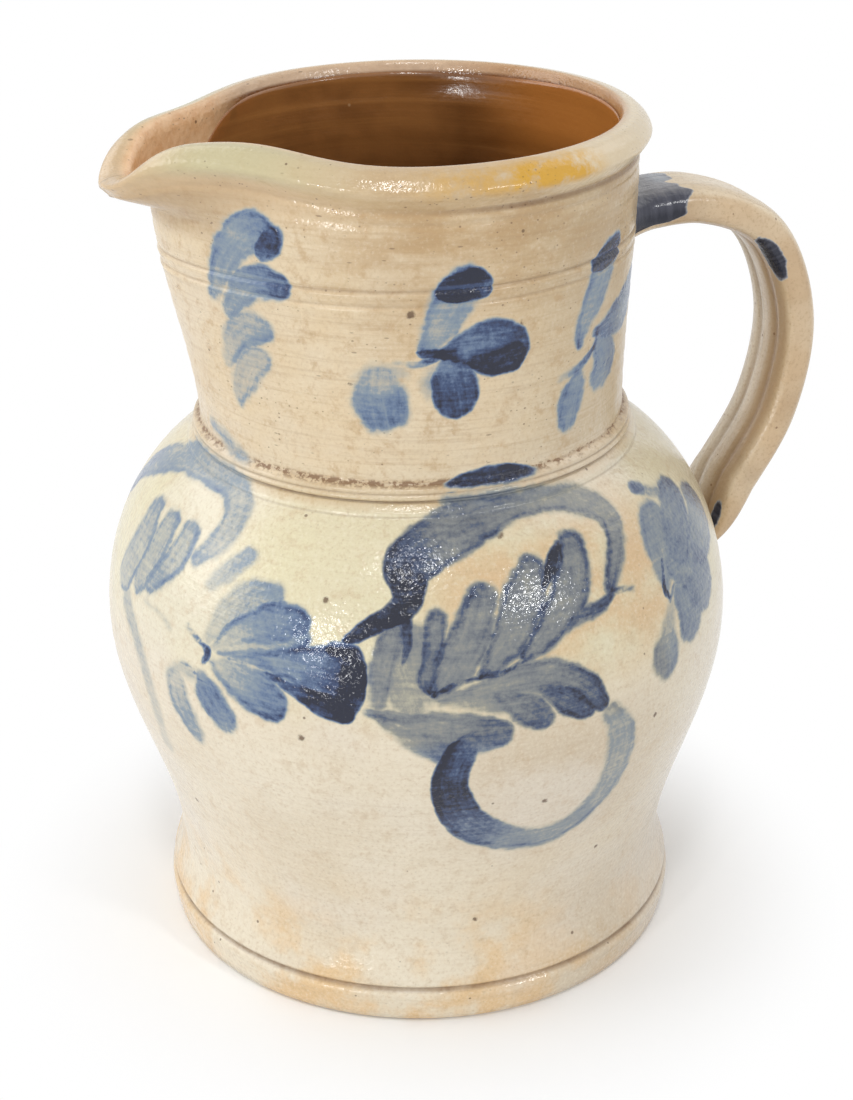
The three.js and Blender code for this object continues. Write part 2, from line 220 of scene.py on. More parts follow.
def outer_profile():
    """Radius and height from the resting edge up the wall, over the rim and into the mouth."""
    overhang = RIM_RADIUS - NECK_TOP_RADIUS
    inner = NECK_TOP_RADIUS - WALL
    wall = [(float(wall_radius(h)), h) for h in np.arange(FOOT_GROOVE_HEIGHT, NECK_FOOT, 1.0)]
    cordon = [(CORDON_RADIUS - inset, NECK_FOOT + lift) for inset, lift in CORDON_SECTION]
    cordon.append((NECK_RADIUS, NECK_START + 1))
    neck = [(float(wall_radius(h)), h) for h in np.arange(NECK_START + 2, RIM_FOOT, 1.0)]
    rim = [
        (NECK_TOP_RADIUS, RIM_FOOT), (RIM_RADIUS - overhang / 4, RIM_FOOT + overhang),
        (RIM_RADIUS, HEIGHT - RIM_BAND / 2), (RIM_RADIUS - overhang / 2, HEIGHT - RIM_BAND / 4),
        ((RIM_RADIUS + RIM_CROWN_RADIUS) / 2, HEIGHT - RIM_BAND / 16), (RIM_CROWN_RADIUS, HEIGHT),
        ((inner + RIM_CROWN_RADIUS) / 2, HEIGHT - RIM_INNER_DROP / 4),
        (inner, HEIGHT - RIM_INNER_DROP), (inner, HEIGHT - SLIP_DROP),
    ]
    foot = [(FOOT_RADIUS - 2 * FOOT_ROUND, 0), (FOOT_RADIUS - FOOT_ROUND / 3, FOOT_ROUND), (FOOT_RADIUS, 6)]
    line = smoothed(foot + wall + cordon + neck + rim, PROFILE_STEP, PROFILE_SOFTNESS)
    radius, height = line[:, 0].copy(), line[:, 1]
    outside = np.arange(len(line)) < np.argmax(height)
    radius -= GROOVE_DEPTH * swell(height, FOOT_GROOVE_HEIGHT, FOOT_GROOVE_WIDTH)
    radius += FOOT_BEAD_BULGE * swell(height, FOOT_GROOVE_HEIGHT - 2.6, 1.5)
    for lift, width, depth in CORDON_LINES:
        radius -= outside * depth * swell(height, NECK_FOOT + lift, width)
    for drop in (0, NECK_LINE_SPACING):
        level = NECK_LINES_HEIGHT - drop
        radius -= outside * (NECK_LINE_DEPTH - drop * 0.06) * swell(height, level, NECK_LINE_WIDTH)
        radius += outside * NECK_LINE_BURR * swell(height, level - 1.2, 0.6)
    for drop, width, depth in RIM_GROOVES:
        radius -= outside * depth * swell(height, RIM_FOOT - drop, width)
    return np.stack([radius, height], 1)


def pick_rows(line, spacing):
    """Places along a fine profile, counted in its points, that a changing spacing asks for."""
    run = run_along(line)
    count = np.concatenate([[0], np.cumsum(np.diff(run) / ((spacing[1:] + spacing[:-1]) / 2))])
    wanted = np.linspace(0, count[-1], int(count[-1]) + 1)
    return np.interp(wanted, count, np.arange(len(line)))


def rows_at(line, picked):
    return points_at(line, np.arange(len(line)), picked)


def inner_profile(depth, top, step):
    """The wall's inside face, a depth under the outside, from a top height to the floor's middle."""
    heights = np.arange(top, FLOOR + 6, -step)
    slope = wall_radius(heights + 0.5) - wall_radius(heights - 0.5)
    slope = np.convolve(np.pad(slope, 3, mode="edge"), np.ones(7) / 7, "valid")
    length = np.hypot(1, slope)
    side = np.stack([wall_radius(heights) - depth / length, heights + depth * slope / length], 1)
    floor = FLOOR + depth - WALL
    side = side[side[:, 1] > floor + 7]
    heel_radius = side[-1, 0]
    drop = side[-1, 1] - floor
    turns = np.linspace(0.2, math.pi / 2, 7)
    bend = [(heel_radius - drop * (1 - math.cos(t)), side[-1, 1] - drop * math.sin(t)) for t in turns]
    flat = [(r, floor) for r in np.linspace(bend[-1][0], 0, 9)[1:]]
    return np.array([*map(tuple, side), *bend, *flat])


# Meshes

def with_ends(values):
    """A grid's values with one more for the point at each end."""
    return np.concatenate([values[:1], values, values[-1:]])


def add_piece(name, places, faces, finish, uv, fields):
    """A smooth-shaded mesh in metres, with its own map and painted fields; rides on the one body."""
    mesh = bpy.data.meshes.new(name)
    mesh.from_pydata((np.asarray(places) * MM).tolist(), [], faces)
    mesh.update()
    mesh.polygons.foreach_set("use_smooth", [True] * len(mesh.polygons))
    layer = mesh.uv_layers.new(name="OFBake")
    layer.data.foreach_set("uv", np.asarray(uv, float).ravel())
    for field, values in fields.items():
        stored = mesh.attributes.new(field, "FLOAT_VECTOR", "POINT")
        stored.data.foreach_set("vector", with_ends(np.asarray(values, float).reshape(-1, 3)).ravel())
    piece = bpy.data.objects.new(name, mesh)
    bpy.context.scene.collection.objects.link(piece)
    mesh.materials.append(finish)
    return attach(piece, "root")


def turned_faces(rows, columns, turns, runs):
    """Faces and map of a grid that closes round an axis and has one point at each end."""
    faces, uv = [], []
    last = 1 + rows * columns

    def at(row, column):
        return 1 + row * columns + column % columns

    for column in range(columns):
        left = turns[column]
        right = turns[column + 1] if column + 1 < columns else 1.0
        middle = (left + right) / 2
        faces.append((0, at(0, column + 1), at(0, column)))
        uv += [(middle, runs[0]), (right, runs[1]), (left, runs[1])]
        for row in range(rows - 1):
            faces.append((at(row, column), at(row, column + 1), at(row + 1, column + 1), at(row + 1, column)))
            low, high = runs[row + 1], runs[row + 2]
            uv += [(left, low), (right, low), (right, high), (left, high)]
        faces.append((at(rows - 1, column), at(rows - 1, column + 1), last))
        uv += [(left, runs[-2]), (right, runs[-2]), (middle, runs[-1])]
    return faces, uv


def grid_normals(places, rows, columns):
    grid = places.reshape(rows, columns, 3)
    around = np.roll(grid, -1, 1) - np.roll(grid, 1, 1)
    along = np.gradient(grid, axis=0)
    normal = np.cross(around, along).reshape(-1, 3)
    return normal / np.maximum(np.linalg.norm(normal, axis=1, keepdims=True), 1e-9)


# Brushwork. Each stroke has a dark left edge, a dark right edge, then its places:
# degrees from the lip, height, half width and load of colour

ARCH_SPRAY = [
    (0.15, 0.55, [(60.5, 133, 1.6, 1), (64, 136, 2.6, 1), (68, 139, 3.2, 1), (71, 142, 3.8, 1),
        (71.5, 146, 5, 0.95), (71, 150, 6.6, 0.85), (74, 153, 7.8, 0.62), (80, 156, 8.2, 0.52),
        (88, 158, 6.8, 0.48), (96, 159, 4.8, 0.44), (106, 159, 4.8, 0.38), (114, 157, 5.8, 0.38),
        (118, 153, 5, 0.4), (117, 148, 4, 0.46), (114, 143, 3.6, 0.48), (111, 138, 2.5, 0.55)]),
    (0.3, 0.3, [(81, 165.6, 1.6, 0.9), (88, 167.4, 2.8, 1), (96, 167.6, 3, 1), (105, 165.8, 1.6, 0.9)]),
    (0, 0, [(80, 163, 1.6, 0.55), (94, 163, 2, 0.5), (111, 161, 1.6, 0.4)]),
    (0, 0, [(110, 137, 1.3, 0.75), (116, 135, 0.9, 0.6)]),
    (0.2, 0.2, [(69, 137, 3.6, 0.52), (67, 127, 4.6, 0.42), (66, 117, 3.2, 0.36)]),
    (0, 0, [(68.5, 134, 5.4, 0.34), (70, 124, 7, 0.3), (71.5, 116, 5, 0.3)]),
    (0, 0, [(73, 134, 4.6, 0.4), (73.4, 126, 5, 0.34), (74, 119, 4, 0.3)]),
    (0.3, 0.35, [(76.2, 138.5, 3.4, 0.54), (75.4, 131, 4, 0.5), (74, 123, 3.2, 0.46), (75, 119, 1.2, 0.8)]),
    (0, 0, [(71, 138, 1.6, 0.75), (71, 132, 1.8, 0.7), (70, 127, 1, 0.6)]),
    (0.1, 0.5, [(85, 142.5, 4.6, 0.5), (82.5, 135, 6.4, 0.46), (79, 127, 6.4, 0.42), (76, 120, 3.2, 0.44)]),
    (0.5, 0.5, [(95.6, 147, 4.4, 0.5), (93, 141, 6.8, 0.46), (89.6, 133, 6.2, 0.44), (85.4, 126, 3.6, 0.44),
        (83, 123, 1.2, 0.7)]),
    (0.55, 0.75, [(106, 150, 4.6, 0.5), (103.2, 142, 6.4, 0.46), (98, 134, 5.6, 0.44),
        (91.6, 127, 2.8, 0.46)]),
    (0, 0, [(103, 151, 1, 1), (100, 147, 2, 1), (97, 142, 1, 0.8)]),
    (0.3, 0, [(111, 136, 1.2, 0.75), (107, 134, 2.2, 0.7), (102, 133, 2.4, 0.5), (97, 129, 1.2, 0.4)]),
    (0.35, 0.1, [(76, 117, 1.6, 0.36), (82, 118.6, 3.4, 0.36), (89, 120.6, 5, 0.4), (96, 119.6, 5.4, 0.5),
        (102, 114, 4.8, 0.66), (105, 108, 2.8, 0.72)]),
    (0, 0, [(75, 119, 1.1, 0.85), (80, 122, 1, 0.7), (86, 123, 1, 0.75), (90, 125, 1, 0.7),
        (93, 127, 0.9, 0.6)]),
    (0.1, 0.2, [(95, 116, 3, 0.5), (99, 111, 4.4, 0.72), (102, 107, 2.6, 0.7)]),
    (0, 0, [(77, 116.6, 1.6, 0.32), (83, 116, 3.6, 0.34), (89, 114, 3.8, 0.38)]),
    (0.1, 0.2, [(86, 117, 3, 0.4), (90.6, 112.4, 5.2, 0.52), (93.4, 108.6, 4, 0.62)]),
    (0.2, 0.1, [(64, 114, 1.4, 0.6), (70, 112, 3, 0.42), (76, 109, 5.4, 0.42), (81, 107, 6.6, 0.5),
        (85.6, 106, 4.8, 0.62)]),
    (0, 0.1, [(66, 112, 1.2, 0.5), (71, 107, 3.8, 0.35), (76, 102, 4.4, 0.5)]),
    (0.1, 0.3, [(81, 104.4, 3.8, 0.5), (79, 100.4, 4.8, 0.74), (77.4, 91, 5.2, 0.9), (79, 80, 6, 0.85),
        (83, 71.6, 6.2, 0.62), (90, 66, 5.4, 0.42), (98, 64.4, 4.8, 0.38), (104.6, 69, 4.6, 0.36),
        (108.6, 77, 5.4, 0.34), (110, 87, 6, 0.31), (109.6, 96, 5.4, 0.3), (107, 104, 4, 0.3)]),
]
CALYX_FLOWER = [
    (0.1, 0.1, [(32, 139.5, 3, 0.2), (35, 144.5, 3.8, 0.28), (38, 148, 3.4, 0.34)]),
    (0.1, 0.2, [(33.5, 125.5, 2.2, 0.2), (36.5, 132.5, 4.8, 0.24), (41, 138.5, 6.6, 0.3),
        (45, 141, 4.8, 0.36)]),
    (0.5, 0.1, [(35, 124, 2, 0.16), (39.5, 130, 4.4, 0.26), (45.5, 134, 6.4, 0.42),
        (50.5, 135.5, 5.6, 0.52)]),
    (0, 0.7, [(36, 123.5, 1.6, 0.18), (43.5, 128, 4, 0.22), (49, 130.5, 4.6, 0.32),
        (52.5, 132, 3.6, 0.46)]),
    (0.1, 0.4, [(35, 120.4, 2, 0.18), (39, 118, 5.2, 0.26), (44, 115.6, 7.4, 0.42), (47, 113, 6.2, 0.58)]),
    (0.1, 0.1, [(32.5, 114, 2.8, 0.34), (34.5, 109.5, 5.4, 0.46), (37.5, 104, 5.2, 0.48)]),
    (0.1, 0.2, [(26, 109.5, 5, 0.24), (27.5, 102, 5, 0.32), (30.5, 94.5, 3.4, 0.34)]),
    (0, 0, [(25, 112, 2.4, 0.2), (27.5, 114, 3, 0.22), (30.5, 114, 3, 0.26)]),
    (0.6, 0.6, [(39, 123, 1.6, 0.24), (45.5, 124.6, 3.4, 0.28), (50.5, 125, 5.4, 0.4),
        (55, 124.4, 7.2, 0.58), (59, 123.6, 8.2, 0.76)]),
    (0, 0, [(46, 121.4, 1.2, 0.64), (52.6, 117.4, 2.4, 0.8), (57.2, 114.6, 3.6, 0.88),
        (60.2, 113.4, 3.6, 0.9)]),
    (0, 0, [(58.4, 130.4, 2.6, 0.78), (61.4, 129, 3.2, 0.84), (61.8, 124, 3.8, 0.88), (61.2, 118, 4, 0.9),
        (60.2, 113.4, 3.4, 0.9)]),
    (0, 0, [(28.5, 127, 0.8, 0.5), (31.5, 124.5, 0.9, 0.7), (34, 122.5, 1.3, 0.9), (33, 119, 0.9, 0.75)]),
    (0, 0, [(25.5, 114.5, 0.7, 0.4), (29.5, 116, 0.8, 0.55), (32.5, 113, 0.9, 0.65),
        (34.5, 113.5, 0.8, 0.55)]),
]
LIP_SPRAY = [
    (0.1, 0.3, [(-24, 134, 2.5, 0.7), (-19, 142, 4, 0.6), (-16, 149, 5.5, 0.46), (-10, 154, 7, 0.36),
        (0, 158.6, 6.5, 0.32), (12, 160, 5.5, 0.3), (23, 160, 5.4, 0.3), (29.6, 156, 5.4, 0.29),
        (30, 150, 5, 0.28), (26, 144, 3.4, 0.3)]),
    (0, 0.1, [(8, 172, 2.4, 0.3), (17, 170, 3.2, 0.3), (26, 166, 2.6, 0.28)]),
    (0.4, 0.1, [(5, 147, 5, 0.3), (6, 139, 7.4, 0.26), (4, 129, 7, 0.24)]),
    (0.45, 0.1, [(13, 147.4, 5, 0.3), (13, 140, 6.4, 0.26), (11, 131, 5.4, 0.26)]),
    (0.5, 0.3, [(20.6, 147.6, 5, 0.28), (20, 141, 5.6, 0.26), (15, 132, 4, 0.3)]),
    (0, 0, [(7, 122, 4.2, 0.24), (14, 112, 3.6, 0.24), (18, 98, 3.6, 0.22), (18, 81, 3.6, 0.18)]),
    (0, 0, [(14, 127, 1.1, 0.3), (20, 126, 1.1, 0.3), (24, 124, 1.1, 0.25)]),
]
HANDLE_FLOWER = [
    (0, 0, [(131, 154, 2.6, 0.62), (132.5, 153.5, 2.8, 0.56)]),
    (0, 0, [(134, 152, 2.6, 0.34), (137.5, 150, 3, 0.34)]),
    (0, 0.15, [(130, 146, 7.2, 0.44), (127.5, 142, 7.4, 0.4), (126, 136, 5.4, 0.36),
        (125, 131, 2.4, 0.42)]),
    (0.2, 0.1, [(141.5, 147, 7, 0.48), (137.5, 143.5, 8.2, 0.42), (133, 138, 7.2, 0.45)]),
    (0.25, 0.1, [(149.5, 141, 7, 0.46), (148.5, 137, 9, 0.4), (141.5, 133.5, 7.6, 0.44)]),
    (0.1, 0.15, [(129, 134.5, 5, 0.42), (134, 131.5, 10, 0.44), (137, 126, 10.6, 0.48)]),
    (0.05, 0.15, [(129, 125, 6, 0.44), (130.5, 119.5, 7.6, 0.48), (129.5, 117.5, 6.4, 0.5)]),
    (0.05, 0.05, [(125, 126, 2.4, 0.2), (122.5, 119.5, 4, 0.32), (121, 113.5, 6.6, 0.46),
        (121, 111.5, 6, 0.46)]),
    (0, 0, [(126, 137.5, 0.9, 0.75), (124, 131, 1.1, 0.85), (125, 127.5, 0.9, 0.8)]),
    (0, 0, [(128, 131, 0.8, 0.6), (124.5, 127, 0.9, 0.65)]),
]
NECK_LEAF = [
    (0.45, 0.1, [(22, 216, 2.8, 0.32), (26, 225.4, 5, 0.36), (31.4, 233, 6.4, 0.36), (36.4, 236, 5.6, 0.46),
        (39.4, 235, 4.6, 0.6)]),
    (0, 0, [(41.4, 235.6, 2.8, 0.62), (40, 233, 3.8, 0.76), (37.8, 230.6, 3, 0.66)]),
    (0.3, 0.2, [(41, 221.6, 4.4, 0.66), (36.4, 222, 5.4, 0.46), (31, 219, 5.2, 0.38),
        (26, 211.6, 3.2, 0.34)]),
    (0.4, 0.1, [(35.4, 208, 4.4, 0.34), (31.4, 208, 6, 0.28), (26.8, 204, 5.4, 0.25),
        (23.4, 197, 3.4, 0.24)]),
    (0.4, 0.1, [(34.8, 199.4, 4, 0.27), (31, 198, 5.8, 0.24), (27.4, 192, 5.4, 0.22),
        (25, 185.6, 2.8, 0.22)]),
]
NECK_FLOWER = [
    (0.15, 0.45, [(85.5, 224.5, 5, 0.5), (84, 221, 6.6, 0.42), (81.5, 216, 6.2, 0.34),
        (78.5, 209.5, 4.6, 0.3), (76, 205.5, 1.8, 0.5)]),
    (0, 0, [(80.5, 221.5, 2.4, 0.8), (83.5, 222.6, 4.4, 0.9), (87, 223.4, 4.8, 0.92), (89, 223, 4, 0.85)]),
    (0.1, 0.5, [(80, 204.5, 1.8, 0.75), (86, 205.6, 5, 0.6), (92.5, 205, 8.2, 0.66), (96, 204, 7.4, 0.8)]),
    (0, 0, [(88, 202, 2, 0.7), (94, 200.6, 4, 0.85), (98, 202, 4, 0.85)]),
    (0.1, 0.1, [(81.5, 202, 3, 0.5), (83, 196, 6.6, 0.66), (83.5, 192, 6.4, 0.78)]),
    (0, 0, [(78.5, 200.5, 2.4, 0.22), (77.5, 196.5, 3.4, 0.26), (79, 192.5, 2.8, 0.3)]),
    (0.15, 0.1, [(65, 196, 6.4, 0.26), (64.6, 192, 7.8, 0.42), (65, 189, 7.2, 0.42)]),
    (0.1, 0, [(69.4, 194, 3, 0.4), (70, 189.6, 3.4, 0.46), (70, 186.6, 3, 0.42)]),
    (0, 0, [(61, 187.6, 2.6, 0.4), (66, 185.8, 2.8, 0.4)]),
    (0, 0, [(60, 198, 2, 0.2), (64.5, 200.4, 2.6, 0.24), (70.5, 199.5, 2.4, 0.22)]),
    (0, 0, [(75, 205, 1.1, 0.85), (79.5, 204.6, 1.6, 0.88), (83, 204.6, 1.6, 0.8)]),
    (0, 0, [(80.5, 204.5, 1.4, 0.85), (75, 202, 1.1, 0.7), (69, 202.5, 0.8, 0.4)]),
]
NECK_BUD = [
    (0.1, 0.45, [(132.5, 224, 3.6, 0.55), (128, 219.5, 6, 0.42), (124.5, 212.5, 6, 0.36),
        (120, 204.5, 4, 0.36), (119, 199, 1.6, 0.6)]),
    (0, 0, [(123, 220.5, 2, 0.85), (127.5, 221.5, 3.8, 0.9), (132.5, 223, 3.6, 0.85)]),
    (0.1, 0.35, [(152, 206.5, 6, 0.6), (142.5, 202.5, 7, 0.5), (131, 200.5, 4, 0.5),
        (125, 200.5, 1.6, 0.6)]),
    (0.1, 0.2, [(128, 197, 4.4, 0.38), (132, 190.5, 7.4, 0.42), (128.5, 187, 5, 0.4)]),
    (0, 0, [(126.5, 201.5, 1, 0.8), (125, 196, 1, 0.75), (118.5, 192, 1.6, 0.55), (112.5, 191, 1.2, 0.4)]),
    (0.15, 0.3, [(119, 188.5, 4, 0.36), (117, 183.5, 5.6, 0.42), (115.8, 178, 4.2, 0.46)]),
]


def moved(strokes, turn, lift, strength):
    """The same sprig laid elsewhere on the wall by the same hand."""
    sprig = []
    for left, right, places in strokes:
        shifted = np.array(places, float) * (1, 1, 1, strength) + (turn, lift, 0, 0)
        sprig.append((left, right, shifted.tolist()))
    return sprig


BRUSHWORK = (
    ARCH_SPRAY + CALYX_FLOWER + LIP_SPRAY + HANDLE_FLOWER + NECK_LEAF + NECK_FLOWER + NECK_BUD
    + moved(CALYX_FLOWER, -88, -2, 0.95) + moved(ARCH_SPRAY, -180, 1, 0.95)
    + moved(CALYX_FLOWER, -180, 3, 0.9) + moved(NECK_LEAF, -77, 2, 1.0)
    + moved(NECK_FLOWER, -167, -1, 0.95) + moved(NECK_BUD, -267, 0, 0.95)
)
# Burnt spots in the clay: degrees, height and radius
BLEMISHES = [
    (56, 142, 0.9), (52.6, 104, 1.0), (91, 155, 1.3), (95, 79, 0.9), (58, 196, 0.7),
    (73, 216, 1.1), (100, 210, 0.7), (118, 96, 0.8), (20, 60, 0.9), (84, 34, 0.8), (112, 50, 0.7),
    (-60, 120, 1.0), (-130, 80, 1.1), (-95, 200, 0.9), (170, 60, 0.9), (-20, 196, 0.8),
]
# Blisters in the thick blue: degrees, height and radius
BLISTERS = [(58, 126.5, 2.0), (71.4, 141, 2.2), (62.4, 134.6, 1.6)]
BRUSH_LAYERS = 6
BRUSH_STEP = 0.5
BRUSH_REACH = 4.0
DRY = -5.0


def through(places, count):
    """Even samples of a smooth curve through a stroke's places."""
    knots = np.asarray(places, float)
    knots = np.concatenate([2 * knots[:1] - knots[1:2], knots, 2 * knots[-1:] - knots[-2:-1]])
    spans = len(knots) - 3
    at = np.linspace(0, spans, count)
    span = np.minimum(at.astype(int), spans - 1)
    part = (at - span)[:, None]
    before, start, end, after = (knots[span + shift] for shift in range(4))
    return 0.5 * (
        2 * start + (end - before) * part + (2 * before - 5 * start + 4 * end - after) * part ** 2
        + (3 * start - before - 3 * end + after) * part ** 3
    )


def stroke_samples(stroke):
    left, right, places = stroke
    rough = on_wall(*np.array(places, float)[:, :2].T)
    length = np.linalg.norm(np.diff(rough, axis=0), axis=1).sum()
    drawn = through(places, int(length / BRUSH_STEP) + 4)
    spots = on_wall(drawn[:, 0], drawn[:, 1])
    ahead = np.gradient(spots, axis=0)
    ahead /= np.maximum(np.linalg.norm(ahead, axis=1, keepdims=True), 1e-9)
    outward = spots * np.array([1, 1, 0.0])
    outward /= np.linalg.norm(outward, axis=1, keepdims=True)
    return {
        "spots": spots, "half": np.maximum(drawn[:, 2], 0.5), "load": np.clip(drawn[:, 3], 0, 1),
        "right_hand": np.cross(ahead, outward), "run": run_along(spots), "edges": (left, right),
    }


def choose_layers(strokes):
    """Strokes that cross lie in different layers, so that each keeps its own edge."""
    layers = [[] for _ in range(BRUSH_LAYERS)]
    for stroke in strokes:
        crowding = []
        for layer in layers:
            worst = 0.0
            for other in layer:
                apart = np.linalg.norm(stroke["spots"][::3, None] - other["spots"][None, ::3], axis=2)
                overlap = (stroke["half"][::3, None] + other["half"][None, ::3] + 2.5 - apart).max()
                worst = max(worst, overlap)
            crowding.append(worst)
        layers[int(np.argmin(crowding))].append(stroke)
    return layers


def lay_brushwork(places, strokes):
    """Per point and layer: depth inside the stroke, place across and along it, and its loads of colour."""
    fields = {}
    thickness = np.zeros(len(places))
    for number, layer in enumerate(choose_layers([stroke_samples(s) for s in strokes]), 1):
        path = np.tile([DRY, 0.0, 0.0], (len(places), 1))
        load = np.zeros((len(places), 3))
        for stroke in layer:
            reach = stroke["half"].max() + BRUSH_REACH
            low, high = stroke["spots"].min(0) - reach, stroke["spots"].max(0) + reach
            near = np.flatnonzero(((places > low) & (places < high)).all(1))
            for part in np.array_split(near, max(1, len(near) // 4000)):
                gap = places[part][:, None] - stroke["spots"][None]
                apart = np.linalg.norm(gap, axis=2)
                depth = stroke["half"][None] - apart
                best = depth.argmax(1)
                inside = np.maximum(depth[np.arange(len(part)), best], DRY)
                closest = apart.argmin(1)
                beside = (gap[np.arange(len(part)), closest] * stroke["right_hand"][closest]).sum(1)
                better = inside > path[part, 0]
                kept = part[better]
                path[kept] = np.stack([inside, beside, stroke["run"][closest]], 1)[better]
                load[kept, 0] = stroke["load"][best][better]
                load[kept, 1:] = stroke["edges"]
        fields[f"brush_path_{number}"] = path
        fields[f"brush_load_{number}"] = load
        thickness = np.maximum(thickness, ease(path[:, 0], -0.2, 1.2) * ease(load[:, 0], 0.6, 1.0))
    return fields, thickness


# Finishes

class Wire:
    """A socket's value; sums on it add Math nodes."""

    def __init__(self, finish, socket):
        self.finish = finish
        self.socket = socket

    def other(self, output):
        return Wire(self.finish, self.socket.node.outputs[output])

    def maths(self, operation, *values):
        return self.finish.node("ShaderNodeMath", {"operation": operation}, dict(enumerate(values)))

    def __add__(self, value):
        return self.maths("ADD", self, value)

    def __radd__(self, value):
        return self.maths("ADD", value, self)

    def __sub__(self, value):
        return self.maths("SUBTRACT", self, value)

    def __rsub__(self, value):
        return self.maths("SUBTRACT", value, self)

    def __mul__(self, value):
        return self.maths("MULTIPLY", self, value)

    def __rmul__(self, value):
        return self.maths("MULTIPLY", value, self)

    def __truediv__(self, value):
        return self.maths("DIVIDE", self, value)

    def larger(self, value):
        return self.maths("MAXIMUM", self, value)

    def kept(self):
        return self.finish.node("ShaderNodeClamp", {}, {0: self})

    def rise(self, start, end):
        """0 before start, 1 after end, smooth between."""
        return self.finish.node(
            "ShaderNodeMapRange", {"interpolation_type": "SMOOTHSTEP"},
            {0: self, 1: start, 2: end, 3: 0.0, 4: 1.0},
        )

    def band(self, start, end, soft):
        return self.rise(start - soft, start + soft) * (1 - self.rise(end - soft, end + soft))


class Finish:
    """A node tree that is written as sums."""

    def __init__(self, tree):
        self.tree = tree
        tree.nodes.clear()

    def node(self, kind, settings, sockets=None, output=0):
        made = self.tree.nodes.new(kind)
        for setting, value in settings.items():
            if setting == "stops":
                ramp = made.color_ramp.elements
                while len(ramp) < len(value):
                    ramp.new(0.5)
                for stop, (position, colour) in zip(ramp, value):
                    stop.position = position
                    stop.color = colour
            else:
                setattr(made, setting, value)
        for socket, value in (sockets or {}).items():
            if isinstance(value, Wire):
                self.tree.links.new(value.socket, made.inputs[socket])
            else:
                made.inputs[socket].default_value = value
        return Wire(self, made.outputs[output] if made.outputs else None)

    def place(self):
        """Place on the object in millimetres."""
        spot = self.node("ShaderNodeTexCoord", {}, output="Object")
        return self.node("ShaderNodeVectorMath", {"operation": "SCALE"}, {0: spot, "Scale": 1000.0})

    def stretched(self, vector, x, y, z):
        return self.node("ShaderNodeVectorMath", {"operation": "MULTIPLY"}, {0: vector, 1: (x, y, z)})

    def field(self, name):
        spot = self.node("ShaderNodeAttribute", {"attribute_name": name}, output="Vector")
        first = self.node("ShaderNodeSeparateXYZ", {}, {0: spot})
        return first, first.other(1), first.other(2)

    def joined(self, x, y, z):
        return self.node("ShaderNodeCombineXYZ", {}, {0: x, 1: y, 2: z})

    def noise(self, vector, scale, detail=2.0, roughness=0.5):
        sockets = {"Vector": vector, "Scale": scale, "Detail": detail, "Roughness": roughness}
        return self.node("ShaderNodeTexNoise", {}, sockets)

    def mix(self, share, first, second):
        return self.node("ShaderNodeMix", {"data_type": "RGBA"}, {0: share, 6: first, 7: second}, 2)

    def coated(self, ground, *coats):
        """A ground colour with coats laid over it in turn, each a share and a colour."""
        for share, coat in coats:
            ground = self.mix(share, ground, coat)
        return ground

    def ramp(self, value, *stops):
        return self.node("ShaderNodeValToRGB", {"stops": stops}, {0: value})

    def bump(self, height, distance):
        return self.node("ShaderNodeBump", {}, {"Height": height, "Distance": distance * MM, "Strength": 1.0})

    def off_spot(self, place, angle, level):
        """Millimetres from a spot on the wall."""
        spot = tuple(float(part) for part in on_wall(angle, level))
        return self.node("ShaderNodeVectorMath", {"operation": "DISTANCE"}, {0: place, 1: spot}, "Value")

    def specks(self, vector, pitch, smallest, largest):
        """Round spots of uneven size, one to a cell, in millimetres."""
        spot = self.node("ShaderNodeTexVoronoi", {"feature": "F1"}, {"Vector": vector, "Scale": 1 / pitch})
        lot = self.node("ShaderNodeSeparateColor", {}, {0: spot.other(1)})
        reach = lot * (largest - smallest) + smallest
        return 1 - (spot * pitch / reach).rise(0.6, 1.1)


def tint(red, green, blue):
    """A colour as it is seen, 0 to 255, for a shader."""
    parts = [channel / 255 for channel in (red, green, blue)]
    return (*[part / 12.92 if part <= 0.04045 else ((part + 0.055) / 1.055) ** 2.4 for part in parts], 1.0)


def new_finish(name):
    material = bpy.data.materials.new(name)
    material.use_nodes = True
    return material, Finish(material.node_tree)


def surface(finish, sockets):
    shader = finish.node("ShaderNodeBsdfPrincipled", {}, sockets)
    finish.node("ShaderNodeOutputMaterial", {}, {"Surface": shader})


# Clay, slip and stains as they are seen, with painted shade and painted light
PALE_CLAY = tint(230, 219, 197)
WARM_CLAY = tint(221, 207, 182)
STRAW = tint(223, 216, 179)
TAN = tint(218, 185, 142)
PEACH = tint(226, 194, 148)
CURL_FOOT_SHADE = tint(198, 180, 156)
BLOOM = tint(229, 222, 210)
NECK_CLAY = tint(221, 199, 163)
SCORCH = tint(182, 148, 102)
NECK_SIDE_SHADE = tint(186, 166, 132)
DRAG_LINE = tint(168, 134, 92)
BROWN_MOTTLE = tint(188, 156, 114)
BROWN_GRAIN = tint(184, 156, 120)
PALE_GRAIN = tint(242, 234, 216)
LIP_TAN = tint(202, 172, 132)
LIP_OLIVE = tint(192, 184, 144)
LIP_UNDERSIDE_SHADE = tint(158, 126, 88)
RIM_TAN = tint(206, 180, 142)
RIM_PALE = tint(238, 222, 190)
RUST = tint(214, 164, 58)
RIM_SLIP = tint(138, 90, 48)
RIM_SLIP_DARK = tint(116, 72, 36)
CHANNEL = tint(252, 210, 164)
CHANNEL_TAN = tint(238, 188, 138)
CROWN = tint(228, 198, 166)
CROWN_BROWN = tint(196, 150, 104)
CORDON_TAN = tint(200, 166, 120)
DIRT = tint(118, 84, 52)
IRON = tint(96, 70, 48)
SLIP = tint(146, 97, 52)
SLIP_DARK = tint(116, 74, 38)
SLIP_RING = tint(166, 114, 62)
SLIP_RUST = tint(180, 114, 52)
SLIP_DEPTH_SHADE = tint(58, 30, 12)
SLIP_THIN = tint(178, 112, 58)
SLIP_FLECK = tint(186, 150, 110)
STRAP_PALE = tint(232, 214, 184)
